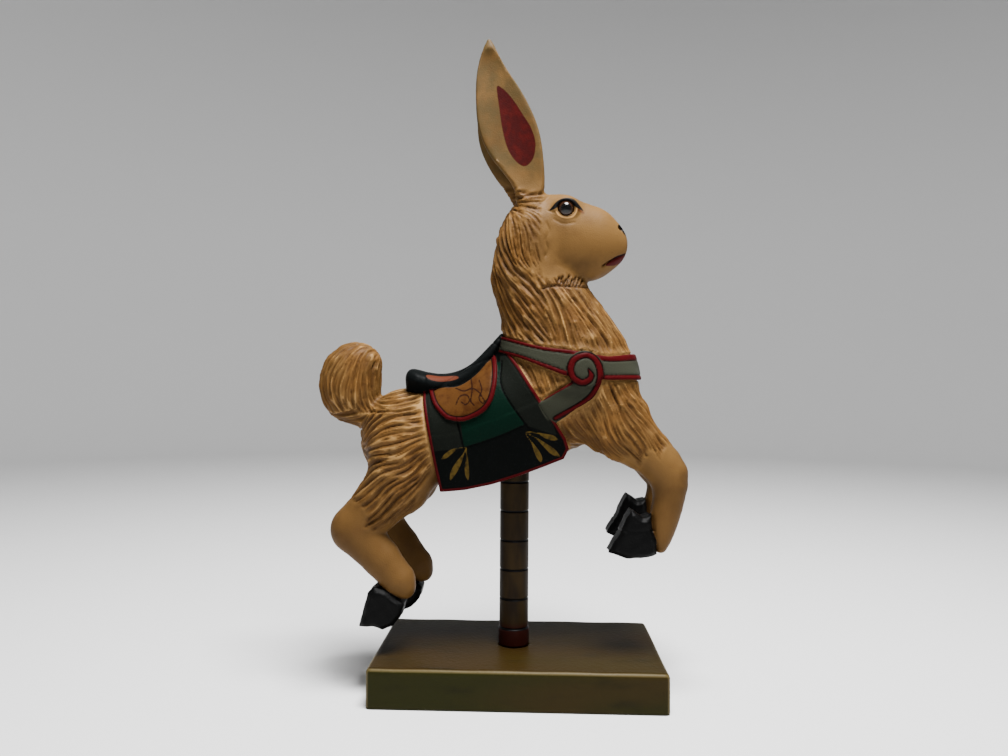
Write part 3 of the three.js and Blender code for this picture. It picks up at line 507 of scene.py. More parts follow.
def tack_parts(p):
    """Distances to the parts of the tack, which lie over each other as they are carved."""
    x, z = p[:, 0], p[:, 2]
    body = body_distance(p)
    strap = body - STRAP_THICKNESS
    under_saddle = z - np.interp(x, *SADDLE_RIM.T) - NO_SADDLE * (x > SADDLE_ENDS[1])
    cloth_outline = np.maximum(outline_distance(CLOTH_EDGE, x, z), under_saddle)
    flap_outline = np.maximum(outline_distance(FLAP_EDGE, x, z), under_saddle)
    return {
        "cloth": meet(cloth_distance(p, body), cloth_outline),
        "flap": meet(body - CLOTH_THICKNESS - FLAP_THICKNESS, flap_outline),
        "collar": meet(strap, outline_distance(COLLAR, x, z)),
        "lower": meet(strap, outline_distance(LOWER_STRAP, x, z)),
        "scroll": meet(body - SCROLL_THICKNESS, from_scroll(x, z)),
        "saddle": saddle_distance(p),
    }


def tack_distance(p):
    return np.min(list(tack_parts(p).values()), axis=0)


# Meshes from distance fields
BLOCK = 8
BAND_MARGIN = 1.3
BATCH = 400


def sample_band(distance, low, high, step):
    """Distances on a grid, worked out finely only near the surface."""
    low = np.array(low, float)
    count = np.ceil((np.array(high) - low) / step / BLOCK).astype(int)
    blocks = np.stack(np.meshgrid(*[np.arange(n) for n in count], indexing="ij"), -1).reshape(-1, 3)
    rough = distance(low + (blocks * BLOCK + (BLOCK - 1) / 2) * step)
    values = np.empty(count * BLOCK, np.float32)
    view = values.reshape(count[0], BLOCK, count[1], BLOCK, count[2], BLOCK).transpose(0, 2, 4, 1, 3, 5)
    view[...] = rough.reshape(*count, 1, 1, 1)
    reach = BAND_MARGIN * (BLOCK / 2 * math.sqrt(3) + 1) * step
    inner = np.stack(np.meshgrid(*[np.arange(BLOCK)] * 3, indexing="ij"), -1).reshape(-1, 3)
    near = blocks[np.abs(rough) < reach]
    for part in np.array_split(near, len(near) // BATCH + 1):
        places = low + (part[:, None, :] * BLOCK + inner) * step
        found = distance(places.reshape(-1, 3)).reshape(len(part), BLOCK, BLOCK, BLOCK)
        view[part[:, 0], part[:, 1], part[:, 2]] = found
    return values, low


def surface_net(values, low, step):
    """One corner for each cell that the surface passes, and one face for each grid edge that it cuts."""
    inside = values < 0
    size = np.array(values.shape) - 1
    total = np.zeros(size, np.int8)
    for offset in np.ndindex(2, 2, 2):
        total += inside[tuple(slice(o, o + n) for o, n in zip(offset, size))]
    cells = np.argwhere((total > 0) & (total < 8))
    number = np.full(size, -1, np.int32)
    number[tuple(cells.T)] = np.arange(len(cells))
    sums = np.zeros((len(cells), 3))
    hits = np.zeros(len(cells))
    faces = []
    for axis in range(3):
        unit = np.eye(3, dtype=int)[axis]
        second, third = np.eye(3, dtype=int)[(axis + 1) % 3], np.eye(3, dtype=int)[(axis + 2) % 3]
        for a, b in np.ndindex(2, 2):
            offset = a * second + b * third
            u = values[tuple((cells + offset).T)]
            v = values[tuple((cells + offset + unit).T)]
            cut = (u < 0) != (v < 0)
            share = np.where(cut, u / np.where(cut, u - v, 1), 0)
            sums += cut[:, None] * (offset + share[:, None] * unit)
            hits += cut
        first = inside[tuple(slice(0, n) if k == axis else slice(1, n) for k, n in enumerate(size))]
        after = inside[tuple(slice(1, n + 1) if k == axis else slice(1, n) for k, n in enumerate(size))]
        edges = np.argwhere(first != after) + (1 - unit)
        ring = [number[tuple((edges - d).T)] for d in (second + third, third, 0 * unit, second)]
        quads = np.stack(ring, -1)
        outward = inside[tuple(edges.T)]
        quads[~outward] = quads[~outward][:, ::-1]
        faces.append(quads)
    return low + (cells + sums / hits[:, None]) * step, np.vstack(faces)


def slope(distance, points, reach=0.35):
    """The direction in which the distance grows, by small steps along each axis."""
    gradient = np.empty_like(points)
    for axis in range(3):
        step = np.eye(3)[axis] * reach
        gradient[:, axis] = (distance(points + step) - distance(points - step)) / (2 * reach)
    size = np.linalg.norm(gradient, axis=1, keepdims=True)
    return gradient / np.maximum(size, 1e-6), size[:, 0]


def settled(distance, points):
    """Moves the corners onto the surface, and gives the surface's direction there."""
    for _ in range(2):
        direction, size = slope(distance, points)
        gap = np.clip(distance(points) / np.maximum(size, 0.3), -0.5, 0.5)
        points = points - direction * gap[:, None]
    return points, slope(distance, points)[0]


# Drawing: marks are placed as they look from the middle of the figure's side, this far from its middle plane
VIEW_X = 10.9
VIEW_Z = 62
VIEW_DISTANCE = 554
DRAWING_SHIFT = np.array([3.5, -150])


def drawn(points):
    closeness = VIEW_DISTANCE / (VIEW_DISTANCE - np.abs(points[:, 1]))
    return VIEW_X + (points[:, 0] - VIEW_X) * closeness, VIEW_Z + (points[:, 2] - VIEW_Z) * closeness


def traced(points):
    """Points measured from the plinth's underside and middle, in the carving's own frame."""
    return [[p[0] + DRAWING_SHIFT[0], p[1] + DRAWING_SHIFT[1], *p[2:]] for p in points]


def polygon(points):
    return smooth_curve(traced(points))


def brush(route, u, v):
    """Signed distance to a brush mark: places along it, each with half its width there."""
    return line_distance(eased(traced(route), 6), u, v)


def tree_of(points):
    """The points ready for finding the nearest one."""
    tree = KDTree(len(points))
    for n, point in enumerate(points):
        tree.insert(point, n)
    tree.balance()
    return tree


# Fur: the way the strokes run, at places on the side
FUR_GUIDES = [
    (-13, 329, -42), (-17, 302, -42), (1, 292, -45), (-10, 266, -40), (16, 276, -50), (6, 256, -48),
    (33, 281, -75), (37, 261, -68), (48, 276, -68), (63, 256, -60), (25, 250, -60), (11, 313, -88),
    (4, 334, -95), (18, 294, -65), (11, 352, 35), (65, 208, -70), (81, 208, -72), (44, 192, -68),
    (65, 187, -62), (86, 192, -50), (92, 182, -48), (60, 171, -62), (81, 166, -45), (25, 213, -55),
    (-84, 205, -150), (-100, 194, -150), (-76, 196, -160), (-84, 183, -178), (-105, 183, -170),
    (-105, 170, -176), (-76, 172, -165), (-89, 160, -172), (-105, 149, -160), (-79, 149, -145),
    (-95, 139, -140), (-68, 149, -115), (-79, 134, -125), (-95, 123, -130), (-110, 125, -155),
    (-92, 210, -145), (-76, 210, -150), (-66, 160, -160), (-70, 138, -118),
]
GUIDE_REACH = 13
FLOW_SWAY = 0.13
TAIL_CURL = (-88.5, 64)
TAIL_LINE, TAIL_FOOT = -87, 44


def on_tail(u, v):
    return (u < TAIL_LINE) & (v > TAIL_FOOT)


def fur_flow(points, normals):
    """The fur's direction, lying in the surface."""
    u, v = drawn(points)
    flow = np.zeros_like(points)
    for x, z, angle in FUR_GUIDES:
        gx, gz = np.array([x, z]) + DRAWING_SHIFT
        weight = np.exp(-((u - gx)**2 + (v - gz)**2) / (2 * GUIDE_REACH**2)) + 1e-9
        flow[:, 0] += weight * math.cos(math.radians(angle))
        flow[:, 2] += weight * math.sin(math.radians(angle))
    tail = on_tail(u, v)
    dx, dz = u - TAIL_CURL[0], v - TAIL_CURL[1]
    flow[tail, 0] = dz[tail]
    flow[tail, 2] = -dx[tail]
    turn = FLOW_SWAY * (np.sin(u / 6.1 + 1.3 * np.sin(v / 9.7)) + np.sin(v / 7.3 + u / 11.9))
    flow = np.stack([flow[:, 0] * np.cos(turn) - flow[:, 2] * np.sin(turn), flow[:, 1],
                     flow[:, 0] * np.sin(turn) + flow[:, 2] * np.cos(turn)], -1)
    flow -= (flow * normals).sum(1, keepdims=True) * normals
    return flow / np.maximum(np.linalg.norm(flow, axis=1, keepdims=True), 1e-6)


# Outlines, seen from the side, of what is left smooth
SMOOTH_FACE = polygon([(17, 298), (16.5, 335), (17.5, 350), (22, 359), (31, 372), (60, 366), (95, 340),
                       (95, 290), (60, 284), (48, 291), (30, 296)])
SMOOTH_EARS = polygon([(-50, 374), (-20, 370), (0, 360), (14, 358), (24, 363), (34, 420), (10, 490),
                       (-60, 480)])
SMOOTH_HIND = polygon([(-160, 131), (-128, 127), (-120, 124.5), (-114, 118), (-116, 108), (-104, 105),
                       (-90, 112), (-84, 116), (-50, 118), (-50, 30), (-160, 30)])
SMOOTH_FORE = polygon([(50, 146), (62, 154), (70, 149), (79, 161), (88, 153), (95, 166), (103, 159),
                       (110, 170), (140, 178), (140, 70), (40, 70)])
SMOOTH_BELLY = polygon([(-66, 146), (-66, 90), (60, 90), (52, 158), (20, 160), (-20, 150)])


def fur_share(points):
    """How far inside the fur a place is, in millimetres, negative where the carving is smooth."""
    u, v = drawn(points)
    inside = np.full(len(points), 20.0)
    for outline in (SMOOTH_FACE, SMOOTH_EARS, SMOOTH_HIND, SMOOTH_FORE, SMOOTH_BELLY):
        inside = np.minimum(inside, outline_distance(outline, u, v))
    return inside


SPACING = 4.3


def spacing_of(points):
    """How far apart the main strokes are: on the rump, tail, lower and upper chest, throat and cheek."""
    u, v = drawn(points)
    spacing = np.full(len(points), SPACING)
    for place, apart in (
        (u < -50, 4.9),
        (on_tail(u, v), 4.0),
        ((u > 0) & (v < 90), 3.8),
        ((u > 12) & (v > 85) & (v < 120), 4.4),
        ((u > 12) & (v >= 120) & (v < 140), 2.7),
        ((u > -6) & (u < 22) & (v > 142) & (v < 204), 2.6),
    ):
        spacing[place] = apart
    return spacing


FRONT_ROUNDNESS, TAIL_ROUNDNESS = 0.6, 0.4


def roundness_of(points):
    """1 for round gouges with sharp crests, 0 for sharp cuts with round locks."""
    u, v = drawn(points)
    front = FRONT_ROUNDNESS * np.clip((u + 40) / 30, 0, 1)
    return np.where(on_tail(u, v), TAIL_ROUNDNESS, front)


STROKE_STEP = 1.0
START_SHARE = 0.8
STOP_SHARE = 0.42
STRAY = 2
LEAST_LENGTH = 1.2
STROKE_WIDTHS = (0.95, 1.4)
STROKE_FORCES = (0.55, 1.2)


class Strokes:
    """Carved strokes that follow the fur, none closer to another than the spacing allows."""

    def __init__(self, points, normals, flow, allowed, spacing, seed):
        self.points, self.normals, self.flow, self.spacing = points, normals, flow, spacing
        self.open = allowed.copy()
        self.free = allowed.copy()
        self.tree = tree_of(points)
        self.random = np.random.default_rng(seed)

    def half(self, start, sign, length):
        path = []
        place = self.points[start]
        index = start
        for _ in range(int(length / STROKE_STEP)):
            place = place + self.flow[index] * (sign * STROKE_STEP)
            _, index, gap = self.tree.find(place)
            if not self.open[index] or gap > STRAY:
                break
            normal = self.normals[index]
            place = place - normal * ((place - self.points[index]) @ normal)
            path.append(place)
        return path

    def draw(self, shortest, longest):
        """Strokes as lists of places with how wide each cuts."""
        paths = []
        for start in self.random.permutation(np.flatnonzero(self.free)):
            if not self.free[start]:
                continue
            length = self.random.uniform(shortest, longest)
            back = self.half(start, -1, length / 2)
            forth = self.half(start, 1, length / 2)
            path = back[::-1] + [self.points[start]] + forth
            spacing = self.spacing[start]
            for place in path[::2]:
                for _, index, gap in self.tree.find_range(place, START_SHARE * spacing):
                    self.free[index] = False
                    if gap < STOP_SHARE * spacing:
                        self.open[index] = False
            if len(path) * STROKE_STEP > LEAST_LENGTH * spacing:
                width = spacing * self.random.uniform(*STROKE_WIDTHS)
                paths.append((np.array(path), width, self.random.uniform(*STROKE_FORCES)))
        return paths


STROKE_RUN_OUT = 6
SHARPNESS = 1.6
GOUGE_SHARE = 0.8


def run_out(count):
    """How much of its depth a stroke has at each place, less towards its ends."""
    steps = np.minimum(np.arange(count) + 1, count - np.arange(count))
    return np.clip(steps / STROKE_RUN_OUT, 0, 1)


def stroke_depth(points, chosen, paths, depth_share, roundness):
    """How deep the strokes cut at each chosen point."""
    places = np.vstack([path for path, _, _ in paths])
    following = np.vstack([np.vstack([path[1:], path[-1:]]) for path, _, _ in paths])
    widths = np.concatenate([np.full(len(path), width) for path, width, _ in paths])
    fades = np.concatenate([force * run_out(len(path)) for path, _, force in paths])
    tree = tree_of(places)
    nearest = np.array([tree.find(points[n])[1] for n in chosen])
    result = np.zeros(len(points))
    p = points[chosen]
    gap = np.full(len(chosen), FAR_OFF)
    for index in (nearest, np.maximum(nearest - 1, 0)):
        a, b = places[index], following[index]
        along = b - a
        t = np.clip(((p - a) * along).sum(1) / np.maximum((along**2).sum(1), 1e-9), 0, 1)
        gap = np.minimum(gap, np.linalg.norm(p - a - t[:, None] * along, axis=1))
    share = np.clip(1 - gap / (widths[nearest] / 2), 0, 1)
    sharp = share**SHARPNESS
    gouge = 1 - (1 - share)**2
    profile = sharp + (GOUGE_SHARE * gouge - sharp) * roundness[chosen]
    result[chosen] = depth_share * widths[nearest] * fades[nearest] * profile
    return result


# Single cuts, as places along them with how wide and deep they are
CUTS = [
    ([(16, 285.5), (24, 287.6), (36, 287.2), (49.5, 286.6)], 4, 2.5),
    ([(18.5, 334), (20.6, 328), (18.2, 321), (19.8, 314), (18, 309)], 2.4, 0.8),
    ([(84, 203), (95, 186), (104, 169)], 3.6, 1.9),
    ([(78, 204), (89, 184), (99, 167)], 3.4, 1.7),
    ([(70, 203), (82, 182), (92, 164)], 3.4, 1.6),
    ([(60, 302), (66, 306), (76, 310.5)], 2.2, 2),
    ([(-8, 354), (-3, 352.5), (1, 354), (3.5, 357), (6, 354.5), (10, 353), (14, 355), (17, 358)], 2, 0.7),
    ([(9, 351), (14, 354), (20, 358)], 2, 0.8),
    ([(12, 347), (17, 350), (22, 354.5)], 2, 0.7),
    ([(20, 342.6), (25, 341.4)], 1.6, 0.7),
    ([(24, 336.5), (31, 333.2), (39, 334)], 2.6, 0.5),
    ([(71, 110.5), (84, 108.4), (98.5, 109.6)], 1.8, 0.6),
]
JAW_CUTS = (26.5, 44.5, 2.5)
EAR_SWIRLS = [(-1, 346.5, 4), (8, 348, 3.2), (2.5, 352.5, 2.4)]


def cut_lines():
    """The single cuts with the row of cuts under the jaw and the swirls at the ear's foot."""
    lines = list(CUTS)
    for n, x in enumerate(np.arange(*JAW_CUTS)):
        lines.append(([(x, 287.5), (x + 1.8, 293.4 + 1.6 * math.sin(2.6 * n))], 2.4, 3))
    for x, z, reach in EAR_SWIRLS:
        turns = np.linspace(0, 3 * math.pi, 14)
        radii = reach * (1 - turns / 11)
        lines.append((list(zip(x + radii * np.cos(turns), z + radii * np.sin(turns))), 1.8, 0.9))
    return lines


def single_cuts(points, sideways):
    u, v = drawn(points)
    depth = np.zeros(len(points))
    for line, width, deepest in cut_lines():
        gap = line_distance(smooth_curve(traced(line), False), u, v)
        depth = np.maximum(depth, deepest * np.clip(1 - gap / (width / 2), 0, 1))
    return depth * sideways


# Building Blender pieces
def spread(points):
    """Carving millimetres to metres in the shared frame."""
    return points * MM + ORIGIN


def make_piece(name, points, faces, material):
    mesh = bpy.data.meshes.new(name)
    mesh.from_pydata(points.tolist(), [], faces.tolist())
    mesh.materials.append(material)
    mesh.polygons.foreach_set("use_smooth", np.ones(len(mesh.polygons), bool))
    piece = bpy.data.objects.new(name, mesh)
    bpy.context.collection.objects.link(piece)
    return piece


def thinned(piece, triangles, kept=()):
    """Merges corners where the surface is flattest, until few enough triangles are left."""
    count = sum(len(face.vertices) - 2 for face in piece.data.polygons)
    if count > triangles:
        modifier = piece.modifiers.new("thin", "DECIMATE")
        modifier.ratio = triangles / count
        if len(kept):
            group = piece.vertex_groups.new(name="free")
            group.add(np.flatnonzero(~kept).tolist(), 1, "REPLACE")
            modifier.vertex_group = group.name
        graph = bpy.context.evaluated_depsgraph_get()
        mesh = bpy.data.meshes.new_from_object(piece.evaluated_get(graph))
        piece.modifiers.clear()
        old, piece.data = piece.data, mesh
        bpy.data.meshes.remove(old)
    return piece


def corners(piece):
    found = np.empty(len(piece.data.vertices) * 3)
    piece.data.vertices.foreach_get("co", found)
    return (found.reshape(-1, 3) - ORIGIN) / MM


def mark(piece, **layers):
    """Puts named values on the piece's corners, for its paint to read."""
    for name, values in layers.items():
        layer = piece.data.attributes.new(name, "FLOAT", "POINT")
        layer.data.foreach_set("value", np.ascontiguousarray(values, dtype=np.float32))


def occlusion_shade(distance, points, normals, reach=7):
    """How much painted shade a place gets from being closed in, from 0 in the open to about 1 in a deep
    fold.
    """
    return np.clip(1 - distance(points + normals * reach) / reach, 0, 1)


# Painted marks of the head
EAR_PATCH = polygon([
    (-18, 435), (-11.6, 430.6), (-5, 422.6), (0.8, 413.5), (5.9, 405.7), (9.4, 397), (10.2, 389.6),
    (8.7, 381.5), (4.5, 376.2), (0, 376), (-5, 380.2), (-9.4, 386.7), (-12.4, 395.4), (-14.9, 407),
    (-16.5, 418.9), (-18, 428),
])
EAR_OUTER_SIDE = 9.2
LEFT_EAR_BACK = 3
UPPER_LID = [
    (21.1, 343, 0.4), (24, 345.1, 1.3), (27.3, 347.9, 1.9), (30.6, 349.8, 1.9), (34.3, 350.3, 1.8),
    (37.9, 349.2, 1.9), (41, 346.4, 1.5), (45.4, 342.6, 0.3),
]
LOWER_LID = [
    (25.7, 342.2, 0.4), (27.5, 339.7, 0.6), (30.6, 338, 0.6), (34.3, 337.6, 0.6), (37.9, 338.5, 0.6),
    (40.3, 341.5, 0.5), (40.8, 344.3, 0.4),
]
EYE_CORNER = [(42, 343.5, 1.2), (45.5, 341, 0.8)]
LIP = np.array(traced([
    (60.5, 302.5), (64.7, 305.2), (70.2, 308.6), (74.5, 309.8), (80, 311), (80, 306), (75.1, 305.8),
    (72.7, 304), (68.4, 302.3), (63.5, 302),
]))
LIP_LINE = [(60.2, 302.3, 0.3), (65, 305.6, 0.5), (70.2, 308.8, 0.6), (77, 311, 0.6)]
NOSTRIL_SLIT = [(71.6, 331.6, 0.7), (74.2, 329, 1.3), (76.8, 325, 1)]
EAR_FOOT = 206
BRUSHED = {"upper_lid": UPPER_LID, "lower_lid": LOWER_LID, "eye_corner": EYE_CORNER, "lip_line": LIP_LINE,
           "nostril": NOSTRIL_SLIT}


def face_marks(points):
    """Signed distances to the marks painted on the head."""
    u, v = drawn(points)
    outwards = np.abs(points[:, 1])
    shift = np.where(points[:, 1] > 0, LEFT_EAR_BACK, 0)
    patch = np.maximum(outline_distance(EAR_PATCH, u + shift, v), EAR_OUTER_SIDE - outwards)
    marks = {name: brush(route, u, v) + 9 * (outwards < 2) for name, route in BRUSHED.items()}
    return dict(marks, patch=patch, lip=outline_distance(LIP, u, v))


def mark_body(piece, places, carved):
    points = corners(piece)
    tree = tree_of(places)
    nearest = [tree.find(point)[1] for point in points]
    v = drawn(points)[1]
    mark(piece, **{name: values[nearest] for name, values in carved.items()}, **face_marks(points))
    mark(piece, fur=np.clip(fur_share(points) / 12, 0, 1), ear=np.clip((v - EAR_FOOT) / 20, 0, 1),
         # lower: painted shade, darker towards the bottom of the figure
         lower=np.clip((10 - v) / 25, 0, 1),
         hoof=np.min([hoof_distance(hoof, points) for hoof in HOOVES], axis=0))


BODY_STEP = 0.9
BODY_TRIANGLES = 196000
BODY_LOW, BODY_HIGH = [-150, -42, -110], [126, 42, 320]
PAINT_EDGE = 1.1
CREST_RISE = 0.9
MAIN_LENGTHS = (28, 110)
MAIN_DEPTH = 0.38
FINE_SPACING = 2.2
FINE_LENGTHS = (8, 34)
FINE_DEPTH = 0.36


def carve_body(material):
    values, low = sample_band(figure_distance, BODY_LOW, BODY_HIGH, BODY_STEP)
    points, faces = surface_net(values, low, BODY_STEP)
    points, normals = settled(figure_distance, points)
    furry = fur_share(points)
    open_side = tack_distance(points) > 1.2
    allowed = (furry > 0.5) & open_side
    flow = fur_flow(points, normals)
    spacing = spacing_of(points)
    chosen = np.flatnonzero((furry > -1) & open_side)
    close = np.full(len(points), FINE_SPACING)
    main = Strokes(points, normals, flow, allowed, spacing, SEED).draw(*MAIN_LENGTHS)
    fine = Strokes(points, normals, flow, allowed, close, SEED + 1).draw(*FINE_LENGTHS)
    fade = np.clip(furry / 3, 0, 1)
    hairs = fade * stroke_depth(points, chosen, fine, FINE_DEPTH, np.zeros(len(points)))
    depth = fade * stroke_depth(points, chosen, main, MAIN_DEPTH, roundness_of(points)) + hairs
    sideways = np.clip(np.abs(points[:, 1]) / 4 - 1, 0, 1)
    depth = np.maximum(depth, single_cuts(points, sideways))
    rise = CREST_RISE * np.clip(furry / 6, 0, 1) * open_side
    # Painted shade: darker where folds or the tack over the body close the surface in.
    fold_shade = occlusion_shade(lambda p: np.minimum(figure_distance(p), tack_distance(p)), points, normals)
    points = points + normals * (rise - depth)[:, None]
    painted = np.min([np.abs(values) for values in face_marks(points).values()], axis=0) < PAINT_EDGE
    piece = thinned(make_piece("rabbit_body", spread(points), faces, material), BODY_TRIANGLES, painted)
    mark_body(piece, points, {"cut": depth, "hair": hairs, "fold_shade": fold_shade})
    return piece


# Painted marks of the tack
def drawn_outline(points):
    return np.array(traced(points))


DARK_PANEL = drawn_outline([(-46, 209), (-69, 209), (-68, 165), (-41, 168)])
GREEN_PANEL = drawn_outline([(-47, 200), (-47, 188), (-41, 168), (-20, 175), (5, 186), (-13, 213),
                             (-14, 232), (-40, 225)])
WEDGE = drawn_outline([(-15, 236), (-13, 212), (5, 185), (27, 178), (20, 200), (-9, 236)])
CLOTH_LINES = [
    [(-13.5, 232), (-13, 212), (5, 185), (9, 181)],
    [(5, 186), (-15, 177), (-41, 168)],
    [(-47, 192), (-41, 168)],
]
LEAVES = [
    [(4, 181, 0.3), (13.5, 179.5, 0.5), (19, 177.5, 1.6), (24, 176.2, 1.9), (27.5, 175, 0.5)],
    [(4, 180, 0.3), (12, 176, 0.5), (19, 170.5, 1.6), (24.5, 166, 2.2), (29, 163, 0.5)],
    [(4, 179, 0.3), (9, 172.5, 0.6), (12.5, 166, 1.8), (14.8, 161.5, 1.8), (15.8, 158.5, 0.4)],
    [(-39, 168.6, 0.3), (-45, 168, 0.5), (-50, 165.5, 1.5), (-54, 162.3, 1.6), (-57, 160, 0.4)],
    [(-39, 168.4, 0.3), (-41.5, 163, 0.6), (-45, 156.5, 2), (-48.5, 150, 2), (-50.5, 145, 0.5)],
    [(-39, 168, 0.3), (-38.4, 161, 0.6), (-38.6, 154.5, 1.5), (-38.2, 149, 1.5), (-37.7, 145, 0.4)],
]
CURLS = [
    [(-47, 200), (-44, 206), (-39, 207), (-37, 203), (-40, 200), (-43, 202)],
    [(-47, 212), (-41, 210), (-35, 212), (-30, 209), (-26, 203)],
    [(-36, 219), (-35, 211), (-36, 203), (-33, 199)],
    [(-30, 218), (-28, 211), (-30, 205), (-27, 201), (-24, 204)],
]
RED_SCROLL = [
    (50, 226.4, 0.7), (52, 222, 1.9), (49.7, 218.2, 2.3), (44.4, 216.9, 2.4), (38.7, 220.5, 2.5),
    (36.9, 226.3, 2.6), (38.6, 232.6, 2.4), (44, 236.2, 2.2), (49.9, 236.8, 2.1), (55, 233.5, 2.2),
    (58.2, 226.3, 2.4), (57.8, 216.8, 2.3), (53, 208.3, 2), (44, 200.8, 1.7), (26, 190.5, 1.6),
]
STRAP_LINE = [(17, 204.5, 1), (28, 211, 1.1), (38, 216.6, 1.1)]
COLLAR_RED = ([-10, 30, 60, 84], [1.9, 2.4, 3.4, 4.6])
FOOT_RED = ([-10, 30, 60, 84], [1.6, 3, 3.3, 3.4])
SEAT = polygon([(-68.7, 221.6), (-58, 220.6), (-47.7, 221), (-45, 219.6), (-50, 217.6), (-59.1, 216.8),
                (-66.8, 218.6)])


def drawn_lines(routes, u, v):
    return np.min([line_distance(smooth_curve(traced(route), False), u, v) for route in routes], axis=0)


def collar_red(points):
    """Signed distance to the red edges of the strap round the chest, which widen to the front."""
    x, z = points[:, 0], points[:, 2]
    upper = line_distance(COLLAR_TOP, x, z) - np.interp(x, *COLLAR_RED)
    lower = line_distance(COLLAR_FOOT, x, z) - np.interp(x, *FOOT_RED)
    return np.minimum(upper, lower)


def mark_tack(piece):
    points = corners(piece)
    u, v = drawn(points)
    x, z = points[:, 0], points[:, 2]
    parts = tack_parts(points)

    def over(*names):
        """Negative where one of these parts lies over all others."""
        mine = np.min([parts[name] for name in names], axis=0)
        others = np.min([parts[name] for name in parts if name not in names], axis=0)
        return mine - others

    mark(
        piece,
        on_flap=over("flap"),
        on_strap=over("collar", "lower", "scroll"),
        on_scroll=over("scroll"),
        on_lower=over("lower"),
        on_saddle=over("saddle"),
        cloth_edge=-outline_distance(CLOTH_EDGE, x, z),
        flap_edge=-outline_distance(FLAP_EDGE, x, z),
        collar_red=collar_red(points),
        strap_line=brush(STRAP_LINE, u, v),
        scroll_red=brush(RED_SCROLL, u, v),
        dark_panel=outline_distance(DARK_PANEL, u, v),
        green_panel=outline_distance(GREEN_PANEL, u, v),
        wedge=outline_distance(WEDGE, u, v),
        cloth_line=drawn_lines(CLOTH_LINES, u, v),
        leaf=np.min([brush(route, u, v) for route in LEAVES], axis=0),
        curl=drawn_lines(CURLS, u, v),
        seat=outline_distance(SEAT, u, v),
        cut=engraved(points),
    )


TACK_STEP = 1.0
TACK_TRIANGLES = 120000
TACK_LOW, TACK_HIGH = [-86, -42, -22], [100, 42, 112]


def engraved(points):
    """How deep the lines along the painted borders are: gap to each line, half its width, and its depth."""
    u, v = drawn(points)
    x, z = points[:, 0], points[:, 2]
    on_collar = (outline_distance(COLLAR, x, z) < 0.5) & (from_scroll(x, z) > 0.8)
    depth = np.zeros(len(points))
    for gap, half, deepest in (
        (np.abs(outline_distance(FLAP_EDGE, x, z) + 3), 0.9, 0.5),
        (np.abs(outline_distance(CLOTH_EDGE, x, z) + 2.6), 0.9, 0.5),
        (brush(RED_SCROLL, u, v), 0.9, 1),
        (brush(STRAP_LINE, u, v), 0.8, 0.5),
        (np.where(on_collar, collar_red(points), 9), 0.9, 0.7),
        (drawn_lines(CLOTH_LINES, u, v), 0.9, 0.5),
    ):
        depth = np.maximum(depth, deepest * np.clip(1 - np.abs(gap) / half, 0, 1))
    return depth


def carve_tack(material):
    values, low = sample_band(tack_distance, TACK_LOW, TACK_HIGH, TACK_STEP)
    points, faces = surface_net(values, low, TACK_STEP)
    points, normals = settled(tack_distance, points)
    points = points - normals * engraved(points)[:, None]
    piece = thinned(make_piece("rabbit_tack", spread(points), faces, material), TACK_TRIANGLES)
    mark_tack(piece)
    return piece


# Painted finishes: the levels from 0 to 255 are what the paint was matched in
GRAIN_DEPTH = 0.15


def srgb(*levels):
    return tuple(((c / 255 + 0.055) / 1.055)**2.4 for c in levels) + (1,)


